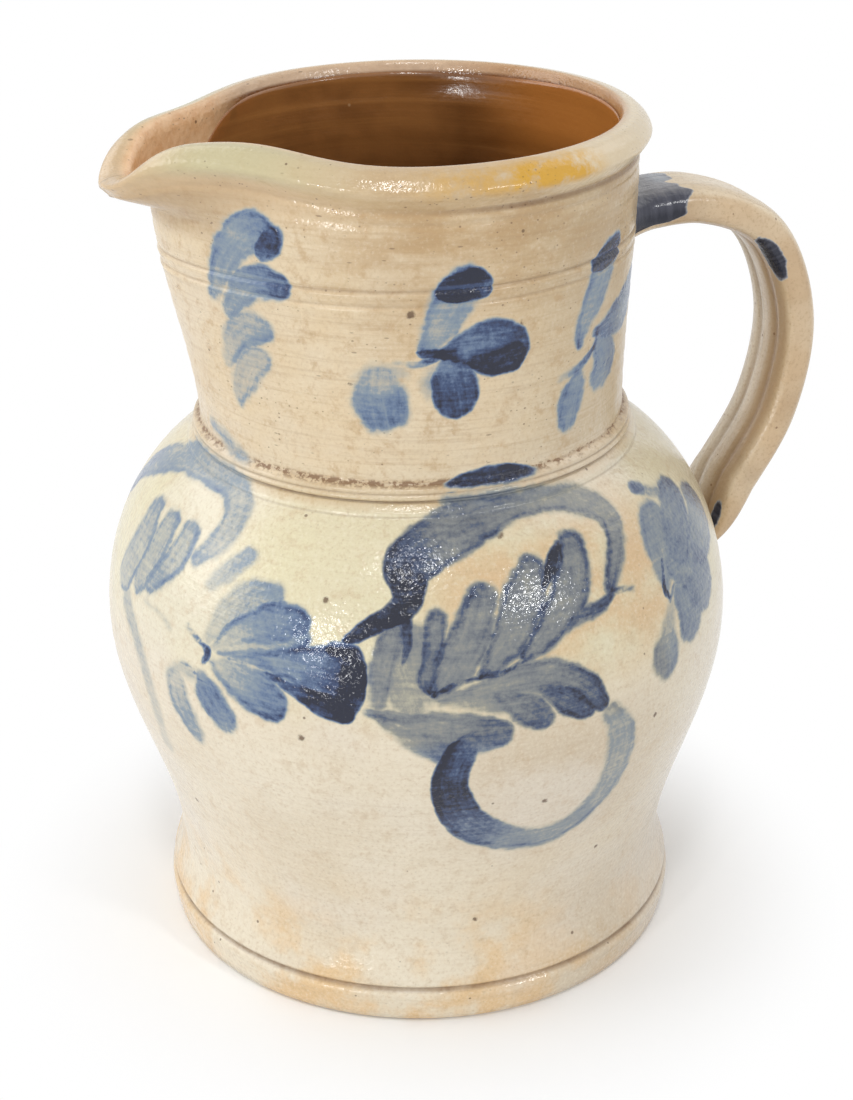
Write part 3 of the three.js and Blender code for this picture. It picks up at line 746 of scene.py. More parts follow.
STRAP_WARM = tint(221, 198, 164)
STRAP_INNER_SHADE = tint(166, 138, 106)
STRAP_INNER_LIGHT = tint(226, 216, 200)
STRAP_SIDE = tint(196, 164, 126)
STRAP_GRAIN = tint(172, 142, 106)
STRAP_PULL = tint(170, 138, 102)
STRAP_GROOVE = tint(150, 122, 92)
STRAP_SPECK = tint(120, 86, 58)

# Cobalt from a thin wash to a thick blue: share of colour and how it is seen
COBALT_WASH = (
    (0.0, tint(196, 188, 166)), (0.2, tint(166, 168, 162)), (0.36, tint(134, 148, 160)),
    (0.52, tint(103, 123, 152)), (0.7, tint(60, 80, 118)), (0.86, tint(44, 56, 88)), (1.0, tint(27, 32, 52)),
)
GREY_WASH = (
    (0.0, tint(190, 184, 164)), (0.25, tint(160, 158, 144)), (0.45, tint(128, 132, 134)),
    (0.66, tint(82, 91, 108)), (0.85, tint(50, 57, 74)), (1.0, tint(30, 33, 46)),
)
STRAP_WASH = (
    (0.0, tint(196, 194, 180)), (0.3, tint(146, 156, 170)), (0.55, tint(120, 120, 126)),
    (0.8, tint(72, 74, 88)), (1.0, tint(24, 28, 46)),
)
# Dirt in the tooled lines: middle height, half width, softness and strength
DIRT_LINES = (
    (NECK_FOOT + 3.5, 0.35, 0.3, 1.0), (NECK_FOOT + 5.8, 0.2, 0.3, 0.8), (NECK_FOOT + 0.1, 0.2, 0.3, 0.6),
    (NECK_FOOT + 8.3, 0.3, 0.3, 0.5), (NECK_LINES_HEIGHT, 0.4, 0.35, 0.55),
    (NECK_LINES_HEIGHT - NECK_LINE_SPACING, 0.4, 0.35, 0.27), (FOOT_GROOVE_HEIGHT, 0.8, 0.5, 1.0),
)


def pigment(finish, place):
    """Share of cobalt on the surface from all the brush layers, uneven as a hair brush leaves it."""
    waver = finish.noise(place, 0.24, 2.0, 0.5) - 0.5
    tide = finish.noise(place, 0.11, 2.0) - 0.5
    lines = finish.noise(finish.stretched(place, 0.1, 0.1, 1.0), 0.95, 2.0) - 0.5
    grain = finish.noise(place, 0.75, 3.0, 0.65) - 0.5
    total = None
    for number in range(1, BRUSH_LAYERS + 1):
        depth, across, along = finish.field(f"brush_path_{number}")
        load, left, right = finish.field(f"brush_load_{number}")
        thin = 1 - load.rise(0.3, 0.85)
        uneven = depth + waver * (1.4 + thin * 1.4)
        cover = uneven.rise(-0.5 - thin * 0.6, 0.8 + thin * 1.6)
        hairs = finish.noise(finish.joined(across * 0.9, along * 0.06, number * 9.0), 1.0, 3.0)
        pool = (left + (right - left) * across.rise(-1.2, 1.2)) * uneven.band(0.2, 2.0, 1.4)
        laid = cover * (load * (0.74 + hairs * 0.52) + pool * (hairs * 0.9 + 0.15)).kept()
        total = laid if total is None else total.larger(laid) + total * laid * 0.3
    mottled = total * (1.0 + tide * 0.7 + lines * 0.6 + grain * 0.8)
    return mottled.kept()


def salt_glaze():
    """Salt-glazed stoneware with brushed cobalt."""
    material, finish = new_finish("salt_glaze")
    place = finish.place()
    around, height, inside = finish.field("wall_place")
    outside = 1 - inside
    front = 1 - finish.node("ShaderNodeSeparateXYZ", {}, {0: place}).other(1).rise(-12, 12)
    drift = finish.noise(place, 0.014, 3.0, 0.55)
    cloud = finish.noise(place, 0.045, 4.0, 0.62)
    mottle = finish.noise(place, 0.22, 4.0, 0.65)
    grain = finish.noise(place, 0.95, 3.0, 0.65)
    lines = finish.noise(finish.stretched(place, 0.04, 0.04, 1.0), 1.15, 3.0) - 0.5
    smoke = finish.noise(finish.stretched(place, 0.35, 0.35, 1.0), 0.13, 4.0, 0.6)

    # Flashes of the kiln on the belly and neck, and painted shade on the lower belly, the foot and the neck's
    # side
    neck = height.rise(NECK_START - 4, NECK_START + 6)
    straw = height.band(116, 164, 12) * (1 - around.rise(100, 150) * 0.3) * (0.45 + cloud * 0.7)
    tan = height.band(118, 160, 14) * around.band(76, 128, 9) * cloud.rise(0.3, 0.6) * (0.3 + front * 0.7)
    peach = (1 - height.rise(10, 58)) * cloud.rise(0.4, 0.62)
    # Painted shade: a greyish tan darkens the lower belly inside the curl of the arch spray, and the foot
    # towards the handle
    curl_and_foot_shade = around.band(78, 116, 10) * height.band(62, 104, 10) * 0.45
    curl_and_foot_shade = curl_and_foot_shade + around.band(104, 175, 16) * (1 - height.rise(18, 60)) * 0.5
    bloom = finish.noise(place, 0.02, 2.0).rise(0.5, 0.68)
    scorch = height.rise(192, 238) * around.band(58, 150, 18) * (0.35 + smoke.rise(0.35, 0.62) * 0.65)
    scorch = scorch * (0.4 + front * 0.6)
    # Painted shade on the neck's side towards the handle
    neck_side_shade = neck * around.band(104, 190, 16)

    # Lip and rim
    lip_zone = height.rise(234, 244) * (1 - around.rise(38, 72))
    olive = finish.mix(around.rise(8, 26) * height.rise(244, 249), LIP_TAN, LIP_OLIVE)
    # Painted shade under the pulled lip
    lip_underside_shade = height.band(231, 243, 3) * (1 - around.rise(18, 50)) * outside
    rim_zone = height.rise(RIM_FOOT - 0.5, RIM_FOOT + 1) * around.rise(30, 60)
    rim_zone = rim_zone * (0.15 + mottle * 0.5) * (1 - around.rise(96, 120) * 0.7)
    rim_end = height.rise(RIM_FOOT, RIM_FOOT + 2) * around.rise(98, 122) * outside
    rust = height.band(247.0, 253.4, 1.6) * (around.band(97, 119, 6) + around.band(78, 97, 9) * 0.5)
    rust = rust * outside * front * finish.noise(place, 0.16, 4.0, 0.65).rise(0.3, 0.58)
    crown = finish.mix(around.rise(112, 146), CROWN, CROWN_BROWN)
    bare = height.rise(HEIGHT - 3.6, HEIGHT - 2.4) * (0.55 + mottle * 0.6)
    slip = finish.mix(bare, finish.mix(cloud.rise(0.35, 0.65), RIM_SLIP, RIM_SLIP_DARK), crown)
    channel = finish.mix(mottle.rise(0.35, 0.66), CHANNEL, CHANNEL_TAN)
    mouth = finish.mix(1 - around.rise(34, 58), slip, channel)

    # Dirt in the lines, crust on the cordon, specks and burnt spots
    tanned = height.band(NECK_FOOT + 1.6, NECK_START + 1.5, 1.2) * (0.1 + cloud * 0.5)
    ring_lines = height.band(RIM_FOOT - 1.5, RIM_FOOT + 0.1, 0.5) * around.rise(70, 100)
    for middle, half, soft, strength in DIRT_LINES:
        ring_lines = ring_lines + height.band(middle - half, middle + half, soft) * strength
    flake = finish.noise(finish.stretched(place, 0.7, 0.7, 1.0), 0.75, 3.0, 0.7) + (cloud - 0.5) * 0.5
    crust = height.band(NECK_FOOT + 7.4, NECK_FOOT + 9.2, 0.6) * flake.rise(0.44, 0.56)
    stained = (ring_lines * (0.35 + mottle * 0.7) + crust * 0.9).kept() * outside
    specks = finish.specks(place, 8.0, 0.05, 0.6)
    dust = finish.specks(finish.stretched(place, 1, 1, 1.3), 2.0, 0.05, 0.42)
    scratches = finish.specks(finish.stretched(place, 0.3, 0.3, 1.0), 2.6, 0.02, 0.3)
    drifted = finish.noise(place, 0.06, 3.0).rise(0.42, 0.6)
    iron = specks * 0.85 + dust * (0.2 + neck * 0.5) * drifted + scratches * neck * 0.55
    for angle, level, radius in BLEMISHES:
        ragged = finish.off_spot(place, angle, level) + (grain - 0.5) * 1.6
        iron = iron + (1 - ragged.rise(radius * 0.6, radius * 1.3))

    clay = finish.coated(
        finish.mix(drift.rise(0.35, 0.65), PALE_CLAY, WARM_CLAY),
        (straw.kept() * 0.9, STRAW), (tan * 0.9, TAN), (peach * 0.95, PEACH),
        (curl_and_foot_shade * (0.3 + front * 0.7), CURL_FOOT_SHADE), (bloom * 0.45, BLOOM),
        (neck * (0.55 + cloud.rise(0.3, 0.7) * 0.4), NECK_CLAY), (scorch * 0.85, SCORCH), (neck_side_shade * 0.4, NECK_SIDE_SHADE),
        ((lines * 1.3).kept() * (0.35 + neck * 0.6), DRAG_LINE),
        (mottle.rise(0.5, 0.74) * (0.3 + neck * 0.35), BROWN_MOTTLE),
        (grain.rise(0.5, 0.76) * 0.36, BROWN_GRAIN),
        ((1 - grain.rise(0.26, 0.5)) * (0.3 - neck * 0.14), PALE_GRAIN),
        (lip_zone * 0.8 * outside, olive), (lip_underside_shade * (0.25 + mottle * 0.4), LIP_UNDERSIDE_SHADE),
        (rim_zone, RIM_TAN), (rim_end * 0.6, RIM_PALE), ((rust * 1.25).kept(), RUST), (inside, mouth),
        (tanned * outside, CORDON_TAN), (stained * 0.85, DIRT), (iron.kept() * 0.85, IRON),
    )

    # Cobalt, thinner where the neck's lines were scored and duller in the thick of the glaze
    low_line = NECK_LINES_HEIGHT - NECK_LINE_SPACING
    scored = height.band(NECK_LINES_HEIGHT + 0.3, NECK_LINES_HEIGHT + 1.5, 0.35)
    scored = neck * (scored + height.band(low_line - 0.9, low_line + 0.4, 0.35))
    cobalt = pigment(finish, place) * outside * (1 - scored * 0.22)
    dull = around.band(64, 121, 3) * height.band(104, 168, 4)
    dull = dull + around.band(64, 158, 3) * height.band(52, 160, 4) * 0.6
    dull = (dull * (0.46 + mottle * 0.6 - cobalt.rise(0.5, 0.75) * 0.46)).kept()
    wash = finish.mix(dull, finish.ramp(cobalt, *COBALT_WASH), finish.ramp(cobalt, *GREY_WASH))
    colour = finish.mix((cobalt * 3.0).kept(), clay, wash)

    # Orange peel of the salt, pits and blisters
    peel = finish.noise(place, 0.72, 2.0, 0.5)
    sway = finish.noise(place, 0.07, 2.0, 0.5)
    pits = finish.specks(place, 4.3, 0.05, 0.38)
    peel = peel * (1 + cobalt * 0.4 + cobalt.rise(0.62, 0.9) * 0.4)
    skin = lines * 0.35 + peel + sway * 2.5 - pits * 0.5
    for angle, level, radius in BLISTERS:
        reach = finish.off_spot(place, angle, level)
        ring = reach.band(radius * 0.6, radius, radius * 0.25)
        hollow = 1 - reach.rise(0.0, radius * 0.6)
        skin = skin + ring * 1.6 - hollow * 1.2
    gloss = finish.noise(place, 0.03, 2.0).rise(0.4, 0.65)
    dry = stained * 0.25 + height.band(NECK_START + 4, 238, 8) * 0.08
    roughness = 0.22 - gloss * 0.07 - cobalt * 0.05 - cobalt.rise(0.55, 0.9) * 0.05 + dry
    sockets = {"Base Color": colour, "Roughness": roughness, "Normal": finish.bump(skin, 0.2), "IOR": 1.5}
    surface(finish, sockets)
    return material


def slip_glaze():
    """Glossy brown slip on the inside."""
    material, finish = new_finish("brown_slip")
    place = finish.place()
    around, height, edge = finish.field("wall_place")
    rings = finish.noise(finish.stretched(place, 0.03, 0.03, 1.0), 0.28, 4.0, 0.6)
    cloud = finish.noise(place, 0.03, 3.0, 0.6)
    rusty = around.rise(122, 154) * height.rise(195, 240)
    thin = edge * finish.noise(place, 0.2, 3.0).rise(0.35, 0.6) * (1 - around.rise(30, 70))
    flecks = finish.specks(place, 12.0, 0.2, 1.0)
    # Painted shade: the slip turns near black lower down inside the pot, below the rim
    brown = finish.coated(
        finish.mix(cloud.rise(0.35, 0.65), SLIP, SLIP_DARK),
        (rings.rise(0.45, 0.7) * 0.55, SLIP_RING), (rusty * 0.85, SLIP_RUST),
        ((1 - height.rise(192, 244)) * 0.75, SLIP_DEPTH_SHADE), (thin * 0.8, SLIP_THIN), (flecks * 0.7, SLIP_FLECK),
    )
    normal = finish.bump(rings * 0.5 + finish.noise(place, 0.5, 2.0) * 0.3, 0.28)
    surface(finish, {"Base Color": brown, "Roughness": 0.13 + cloud * 0.1, "Normal": normal, "IOR": 1.52})
    return material


def handle_glaze():
    """Pulled strap: tan faces, browner sides, cobalt at the joints."""
    material, finish = new_finish("handle_glaze")
    place = finish.place()
    along, across, side = finish.field("strap_place")
    cobalt_depth, cobalt_load, groove = finish.field("strap_paint")
    turn_out = finish.field("strap_face")[0]
    cloud = finish.noise(place, 0.05, 3.0, 0.6)
    pulled = finish.noise(finish.joined(along * 0.05, across * 0.5, 3.0), 1.0, 3.0) - 0.5
    grain = finish.noise(place, 0.95, 3.0, 0.65)
    # The inner face is painted darker on its near half and lighter on its far half: painted shade and painted
    # light
    inner = 1 - turn_out.rise(-0.9, -0.55)
    inner_face_light_and_shade = finish.mix(across.rise(-6.5, 3.0), STRAP_INNER_SHADE, STRAP_INNER_LIGHT)
    specks = finish.specks(place, 6.0, 0.1, 0.55)
    clay = finish.coated(
        finish.mix(cloud.rise(0.35, 0.65), STRAP_PALE, STRAP_WARM),
        (inner * 0.85, inner_face_light_and_shade), (side * (0.25 + cloud * 0.5), STRAP_SIDE),
        (grain.rise(0.48, 0.76) * 0.5, STRAP_GRAIN), ((pulled * 1.6).kept(), STRAP_PULL),
        (groove * 0.6, STRAP_GROOVE), (specks * 0.7, STRAP_SPECK),
    )
    waver = finish.noise(place, 0.3, 3.0) - 0.5
    streak = finish.noise(finish.joined(along * 0.6, across * 0.12, 0.0), 1.0, 2.0)
    cobalt = (cobalt_depth + waver * 2.2).rise(-0.4, 0.6) * (cobalt_load * (0.75 + streak * 0.5)).kept()
    colour = finish.mix((cobalt * 2.6).kept(), clay, finish.ramp(cobalt, *STRAP_WASH))
    normal = finish.bump(pulled * 1.6 + finish.noise(place, 0.72, 2.0), 0.19)
    surface(finish, {"Base Color": colour, "Roughness": 0.27 - cobalt * 0.07, "Normal": normal, "IOR": 1.5})
    return material


# Thrown body with its rim and lip

FRONT_STEP = 0.85
BACK_STEP = 1.8
FRONT_ARC = (-14.0, 158.0)
# Rows up the wall: distance between them on the belly, lower down, in the tooled bands and on the rim
BELLY_ROWS = 1.35
LOW_ROWS = 2.45
TOOLED_ROWS = 0.58
RIM_ROWS = 0.7
# Tooled bands: middle height and half width
TOOLED_BANDS = ((FOOT_GROOVE_HEIGHT, 4), (NECK_FOOT + 3, 6), (NECK_LINES_HEIGHT - 2, 4.5), (RIM_FOOT - 4, 7))
BASE_RADII = (22.0, 42.0, 60.0, 72.0)
LIP_INSIDE_DEPTH = 45.0
ROLL_SPREAD = 0.9
BLUE_RELIEF = 0.28
# Rows on each side of the crown over which the glazed outside turns to the inside
CROWN_BLEND = 3


def columns_round():
    """Degrees from the lip, closer together where the pot faces the viewer."""
    start, end = FRONT_ARC
    back_arc = 360 - end + start
    back = np.linspace(end, start + 360, int(back_arc / BACK_STEP) + 1)[:-1]
    return np.concatenate([np.arange(start, end, FRONT_STEP), back])


def make_body():
    line = outer_profile()
    height = line[:, 1]
    spacing = BELLY_ROWS + (LOW_ROWS - BELLY_ROWS) * (1 - ease(height, 44, 58))
    for middle, width in TOOLED_BANDS:
        spacing = np.where(np.abs(height - middle) < width, TOOLED_ROWS, spacing)
    spacing = np.where(height > RIM_FOOT + 2, RIM_ROWS, spacing)
    picked = pick_rows(line, spacing)
    wall = rows_at(line, picked)
    rolled = rows_at(softened(line, PROFILE_STEP, LIP_SOFTNESS), picked)
    base = np.array([(radius, 0.0) for radius in BASE_RADII])
    lip_inside = inner_profile(WALL, HEIGHT - SLIP_DROP - 1, 2.0)
    lip_inside = lip_inside[lip_inside[:, 1] > HEIGHT - LIP_INSIDE_DEPTH]
    deep = inner_profile(WALL, HEIGHT - SLIP_DROP - 2, 8.0)
    deep = deep[(deep[:, 1] < HEIGHT - LIP_INSIDE_DEPTH - 3) & (deep[:, 0] > 1)]
    profile = np.concatenate([base, wall, lip_inside, deep])
    lip_profile = np.concatenate([base, rolled, lip_inside, deep])
    rows, angles = len(profile), columns_round()
    columns = len(angles)
    turn = np.tile(np.where(angles > 180, angles - 360, angles), rows)
    at_lip = np.exp(-((np.abs(turn) / LIP_HALF_ANGLE) ** LIP_POINT))
    at_lip = at_lip * np.repeat(ease(profile[:, 1], RIM_FOOT - 9, RIM_FOOT - 1), columns)
    thrown, pulled = (np.repeat(rings, columns, 0) for rings in (profile, lip_profile))
    radius, level = (thrown[:, axis] * (1 - at_lip) + pulled[:, axis] * at_lip for axis in (0, 1))
    crown_row = len(base) + int(np.argmax(wall[:, 1]))
    skin = 1 - ease(np.arange(rows), crown_row - CROWN_BLEND, crown_row + CROWN_BLEND)
    skin[:len(base)] = 0
    skin = np.repeat(skin, columns)
    radius = radius + skin * (throwing_rings(level, turn) - SKIN_INSET + at_lip * ROLL_SPREAD)
    places = shaped(turn, radius, level)
    fields, thickness = lay_brushwork(shaped(turn, radius + skin * SKIN_INSET, level), BRUSHWORK)
    places += grid_normals(places, rows, columns) * (BLUE_RELIEF * thickness * skin)[:, None]
    fields["wall_place"] = np.stack([np.abs(turn), level, 1 - skin], 1)
    everything = np.concatenate([[[0.0, 0.0, 0.0]], places, [shaped(0.0, 0.0, FLOOR)]])
    steps = np.hypot(*np.diff(profile, axis=0, prepend=0).T)
    lengths = np.concatenate([[0], np.cumsum([*steps, profile[-1, 0]])])
    faces, uv = turned_faces(rows, columns, (angles - angles[0]) / 360, lengths / lengths[-1])
    body = add_piece("thrown_body_glazed", everything, faces, salt_glaze(), uv, fields)
    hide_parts("thrown_body")


# Slip lining

LINING_COLUMNS = 240
LINING_GAP = 0.05
LINING_FACE = 0.75
# Drop of the lining's bare edge, and of that edge again in the lip's channel
LINING_DROP = 3.2
CHANNEL_DIP = 24.0
CHANNEL_MIDDLE = -4.0
CHANNEL_HALF_ANGLE = 32.0
RIPPLE_DEPTH = 0.22
# A dent that a knuckle left: degrees from the lip, drop under the crown, depth and half sizes
KNUCKLE_ANGLE = -127.0
KNUCKLE_DROP = 11.0
KNUCKLE_DEPTH = 1.05
KNUCKLE_HALF_ANGLE = 12.0
KNUCKLE_HALF_HEIGHT = 4.6


def make_lining():
    coat_top = HEIGHT - SLIP_DROP
    top = HEIGHT - LINING_DROP
    angles = np.linspace(-180, 180, LINING_COLUMNS, endpoint=False)
    face = inner_profile(WALL + LINING_FACE, coat_top, 1.6)
    face[:, 0] += 0.6 * ease(face[:, 1], coat_top - 10, coat_top - 1)
    back = inner_profile(WALL + LINING_GAP, coat_top, 8.0)
    rim_bore = NECK_TOP_RADIUS - WALL
    crown = np.array([(rim_bore + 0.2, top), (rim_bore, top - 1.0), (rim_bore, top - 2.4)])
    face = np.concatenate([crown - [0.15, 0], face])
    back = np.concatenate([crown - [0.04, 0], back])
    face, back = face[face[:, 0] > 1], back[back[:, 0] > 1]
    profile = np.concatenate([face[::-1], back])
    rows = len(profile)
    turn = np.tile(angles, rows)
    radius = np.repeat(profile[:, 0], LINING_COLUMNS)
    level = np.repeat(profile[:, 1], LINING_COLUMNS)
    dip = CHANNEL_DIP * np.exp(-((np.abs(turn - CHANNEL_MIDDLE) / CHANNEL_HALF_ANGLE) ** 3))
    dip = dip + 0.3 * np.sin(np.radians(turn * 5 + 40))
    lowered = level - ease(level, top - 60, top) * (dip + 0.3)
    radius = radius + wall_radius(lowered) - wall_radius(level)
    shown = np.repeat(np.arange(rows) < len(face), LINING_COLUMNS)
    ripple = 0.5 * np.sin(level * 0.62 + np.radians(turn)) + 0.3 * np.sin(level * 1.31 + 2)
    ripple = ripple * RIPPLE_DEPTH * ease(level, 20, 60) * (1 - ease(level, top - 18, top - 8))
    knuckle = swell(turn, KNUCKLE_ANGLE, KNUCKLE_HALF_ANGLE)
    knuckle = KNUCKLE_DEPTH * knuckle * swell(level, HEIGHT - KNUCKLE_DROP, KNUCKLE_HALF_HEIGHT)
    radius = radius + shown * (ripple - knuckle)
    places = shaped(turn, radius, lowered)
    field = np.stack([np.abs(turn), lowered, ease(level, top - 9, top)], 1)
    ends = [shaped(0.0, 0.0, FLOOR + lift) for lift in (LINING_FACE, LINING_GAP)]
    everything = np.concatenate([ends[:1], places, ends[1:]])
    steps = np.concatenate([[profile[0, 0]], np.hypot(*np.diff(profile, axis=0).T), [profile[-1, 0]]])
    lengths = np.concatenate([[0], np.cumsum(steps)])
    faces, uv = turned_faces(rows, LINING_COLUMNS, (angles + 180) / 360, lengths / lengths[-1])
    lining = add_piece("slip_lining_glazed", everything, faces, slip_glaze(), uv, {"wall_place": field})
    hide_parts("slip_lining")


# Strap handle, drawn out of the neck and smoothed on to the belly

HANDLE_STATIONS = 260
HANDLE_ROUND = 96
STRAP_SQUARENESS = 3.2
# Grooves that the fingers pulled in the inner face: place across and half width
GROOVES = ((-5.5, 1.3), (4.5, 1.5))
GROOVE_DEPTH_INSIDE = 0.9
OUTER_HOLLOW = 0.25
BLOTCH_LENGTH = 15.5
DAB_PLACE = 53.0
DAB_RADIUS = 3.6
STREAK_BEFORE_END = 14.0
STREAK_RADIUS = 2.4


def handle_place(out, drop):
    return shaped(180.0, NECK_TOP_RADIUS + out, HEIGHT - drop)


def landing_place(height, out):
    return shaped(180.0, float(wall_radius(height)) + out, height)


def strap_line():
    """Middle line of the strap, evenly spaced, with its length so far."""
    knots = [
        handle_place(-WALL / 2, JOINT_DROP), handle_place(23, 35), handle_place(44.5, 45.5),
        handle_place(55.5, 73), handle_place(51, 104), landing_place(LANDING_HEIGHT, LANDING_OUT),
        landing_place(LANDING_HEIGHT - TAIL_LENGTH / 2, LANDING_OUT / 4),
        landing_place(LANDING_HEIGHT - TAIL_LENGTH, -STRAP_THICKNESS / 4),
    ]
    knots = [2 * knots[0] - knots[1], *knots, 2 * knots[-1] - knots[-2]]
    drawn = []
    for before, start, end, after in zip(knots, knots[1:], knots[2:], knots[3:]):
        pairs = ((before, start), (start, end), (end, after))
        first, span, last = (math.sqrt(np.linalg.norm(b - a)) for a, b in pairs)
        leave = ((start - before) / first - (end - before) / (first + span) + (end - start) / span) * span
        reach = ((end - start) / span - (after - start) / (span + last) + (after - end) / last) * span
        t = np.linspace(0, 1, 60, endpoint=False)[:, None]
        drawn.append(
            (2 * t ** 3 - 3 * t ** 2 + 1) * start + (t ** 3 - 2 * t ** 2 + t) * leave
            + (3 * t ** 2 - 2 * t ** 3) * end + (t ** 3 - t ** 2) * reach
        )
    drawn = np.concatenate([*drawn, [knots[-2]]])
    run = run_along(drawn)
    even = np.linspace(0, run[-1], HANDLE_STATIONS)
    return points_at(drawn, run, even), even


def make_handle():
    middle, along = strap_line()
    total = along[-1]
    ahead = np.gradient(middle, axis=0)
    ahead /= np.linalg.norm(ahead, axis=1, keepdims=True)
    outward = np.stack([-ahead[:, 2], np.zeros(len(ahead)), ahead[:, 0]], 1)
    turn = np.linspace(0, 2 * math.pi, HANDLE_ROUND, endpoint=False)
    power = 2 / STRAP_SQUARENESS
    across = np.sign(np.cos(turn)) * np.abs(np.cos(turn)) ** power
    out = np.sign(np.sin(turn)) * np.abs(np.sin(turn)) ** power

    # The strap widens at both joints and thins out to a tail on the belly
    upper = WALL / 2 + WAD_LENGTH
    lower_run = TAIL_LENGTH + LANDING_OUT
    share = np.clip((along - (total - lower_run)) / lower_run, 0, 1)
    flare = 1 + (WAD_FLARE - 1) * np.clip(1 - along / upper, 0, 1) ** 2
    spread = 1 + (WAD_FLARE - 1) * np.sin(np.pi * share) - share * share / 2
    thicker = 1 + (TAIL_TAPER - 1) * share
    width = STRAP_WIDTH / 2 * np.where(share > 0, spread, flare)
    thick = STRAP_THICKNESS / 2 * np.where(share > 0, thicker, flare)
    station, side = np.meshgrid(np.arange(len(along)), np.arange(HANDLE_ROUND), indexing="ij")
    run, facing = along[station], out[side]
    reach_y = across[side] * width[station]
    groove = ease(-facing, 0.55, 0.95) * sum(swell(reach_y, place, half) for place, half in GROOVES)
    reach_out = facing * thick[station] + GROOVE_DEPTH_INSIDE * groove
    reach_out = reach_out - OUTER_HOLLOW * (facing > 0) * swell(reach_y, 0, 7)
    places = middle[station] + outward[station] * reach_out[..., None]
    places[..., 1] = reach_y
    everything = np.concatenate([[middle[0]], places.reshape(-1, 3), [middle[-1]]])

    # Cobalt: a blotch over the upper joint, a dab on the bend and a streak at the tail
    distance = run - WALL / 2
    wave = 1.6 * np.sin(reach_y * 0.45) + 0.9 * np.sin(reach_y * 1.1 + 1)
    blotch = np.minimum(BLOTCH_LENGTH + wave - distance, 6.0) - 12 * (1 - ease(facing, -0.75, -0.2))
    off_edge = np.hypot(reach_y + STRAP_WIDTH / 2 - 1.5, reach_out + STRAP_THICKNESS / 2 - 2.0)
    dab = DAB_RADIUS - np.hypot((distance - DAB_PLACE) / 2.6, off_edge / 0.9)
    streak = STREAK_RADIUS - np.hypot((run - (total - STREAK_BEFORE_END)) / 2.8, off_edge / 0.9)
    depth = np.maximum(np.maximum(blotch, dab), streak)
    blotch_load = 0.6 + 0.4 * ease(-reach_y, 8, 13) * (1 - ease(facing, -0.2, 0.3) * 0.4)
    load = np.where(blotch > np.maximum(dab, streak), blotch_load, 0.95)
    load = load - 0.25 * swell(distance, 13, 3.5) * swell(reach_y, 3, 6)
    sides = ease(np.abs(across[side]), 0.86, 0.99) * (1 - ease(np.abs(facing), 0.55, 0.95))
    fields = {
        "strap_place": np.stack([run, reach_y, sides], -1),
        "strap_paint": np.stack([depth, load, groove], -1),
        "strap_face": np.stack([facing] * 3, -1),
    }
    runs = np.concatenate([[0], 0.02 + 0.96 * along / total, [1]])
    faces, uv = turned_faces(len(along), HANDLE_ROUND, turn / (2 * math.pi), runs)
    handle = add_piece("strap_handle_glazed", everything, faces, handle_glaze(), uv, fields)
    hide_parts("strap_handle", "upper_wad", "lower_wad")


make_body()
make_lining()
make_handle()


# Floor, light and camera

CAMERA_AZIMUTH = math.radians(-18.0)
CAMERA_YAW = 0.0039
CAMERA_PITCH = 0.4437
CAMERA_DISTANCE = 0.5708
CAMERA_HEIGHT = 0.3886
FOCAL_PIXELS = 2056.9
PICTURE_HEIGHT = 1100
SENSOR = 36.0
FLOOR_HALF = 3.0
# Distances from the pot's middle between which the floor fades to plain white
FADE_FROM = 0.066
FADE_TO = 0.142
ROOM_LIGHT = 0.4
LAMP_DISTANCE = 1.3
LAMP_AIM = Vector((0, 0, 0.13))
# Lamps: degrees to the left of the camera, degrees up, size in metres and power in watts
LAMPS = (
    ("left_window", 85, 24, 0.7, 4.4),
    ("right_front", -46, 29, 0.1, 2.75),
    ("front_top", 4, 56, 0.14, 3.0),
    ("front_low", 32, 15, 0.09, 2.05),
    ("front_sill", 30, 5, 0.08, 0.95),
    ("back_left", 125, 40, 0.8, 3.1),
    ("back_right", -118, 45, 0.8, 2.0),
)


def seen_directly(finish):
    """1 where the camera, or a shine or glass that it looks at, meets the background."""
    path = finish.node("ShaderNodeLightPath", {}, output="Is Camera Ray")
    return (path + path.other("Is Glossy Ray") + path.other("Is Transmission Ray")).kept()


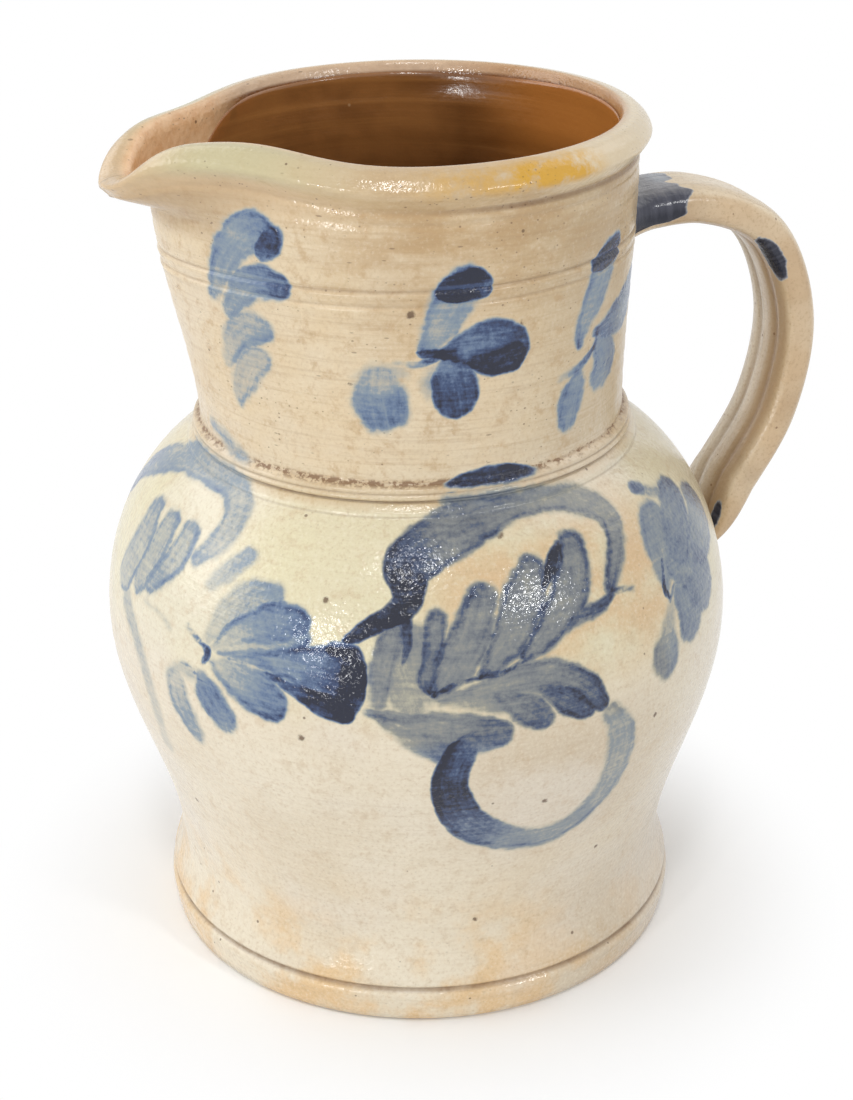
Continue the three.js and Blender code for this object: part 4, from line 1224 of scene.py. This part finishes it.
def make_floor():
    """Near-white floor that fades to plain white away from the pot."""
    material, finish = new_finish("pale_floor")
    seen = seen_directly(finish)
    spot = finish.node("ShaderNodeTexCoord", {}, output="Object")
    away = finish.node("ShaderNodeVectorMath", {"operation": "LENGTH"}, {0: spot}, "Value")
    plain = finish.node("ShaderNodeBsdfDiffuse", {}, {"Color": (0.96, 0.96, 0.96, 1)})
    white = finish.node("ShaderNodeEmission", {}, {"Color": (1, 1, 1, 1), "Strength": 1.0})
    faded = seen * away.rise(FADE_FROM, FADE_TO)
    shade = finish.node("ShaderNodeMixShader", {}, {0: faded, 1: plain, 2: white})
    finish.node("ShaderNodeOutputMaterial", {}, {"Surface": shade})
    mesh = bpy.data.meshes.new("floor")
    corners = [(x * FLOOR_HALF, y * FLOOR_HALF, 0) for x, y in ((-1, -1), (1, -1), (1, 1), (-1, 1))]
    mesh.from_pydata(corners, [], [(0, 1, 2, 3)])
    mesh.materials.append(material)
    floor = bpy.data.objects.new("floor", mesh)
    bpy.context.scene.collection.objects.link(floor)


def make_lamp(name, azimuth, elevation, size, power):
    """A square soft lamp that points at the pot."""
    lamp = bpy.data.lights.new(name, "AREA")
    lamp.size = size
    lamp.energy = power
    holder = bpy.data.objects.new(name, lamp)
    a, e = CAMERA_AZIMUTH - math.radians(azimuth), math.radians(elevation)
    away = Vector((math.sin(a) * math.cos(e), -math.cos(a) * math.cos(e), math.sin(e)))
    holder.location = LAMP_AIM + LAMP_DISTANCE * away
    holder.rotation_euler = (LAMP_AIM - holder.location).to_track_quat("-Z", "Y").to_euler()
    bpy.context.scene.collection.objects.link(holder)


def make_world():
    """Even room light that the camera sees as plain white."""
    world = bpy.data.worlds.new("white_room")
    world.use_nodes = True
    bpy.context.scene.world = world
    finish = Finish(world.node_tree)
    strength = ROOM_LIGHT + seen_directly(finish) * (1 - ROOM_LIGHT)
    light = finish.node("ShaderNodeBackground", {}, {"Color": (1, 1, 1, 1), "Strength": strength})
    finish.node("ShaderNodeOutputWorld", {}, {"Surface": light})


def make_camera():
    camera = bpy.data.cameras.new("camera")
    camera.sensor_fit = "VERTICAL"
    camera.sensor_height = SENSOR
    camera.lens = FOCAL_PIXELS * SENSOR / PICTURE_HEIGHT
    camera.clip_start = 0.01
    holder = bpy.data.objects.new("camera", camera)
    holder.location = (
        CAMERA_DISTANCE * math.sin(CAMERA_AZIMUTH), -CAMERA_DISTANCE * math.cos(CAMERA_AZIMUTH), CAMERA_HEIGHT
    )
    holder.rotation_euler = (math.pi / 2 - CAMERA_PITCH, 0, CAMERA_AZIMUTH - CAMERA_YAW)
    bpy.context.scene.collection.objects.link(holder)
    bpy.context.scene.camera = holder


make_floor()
make_world()
for lamp_values in LAMPS:
    make_lamp(*lamp_values)
make_camera()
bpy.context.scene.view_settings.view_transform = "Standard"
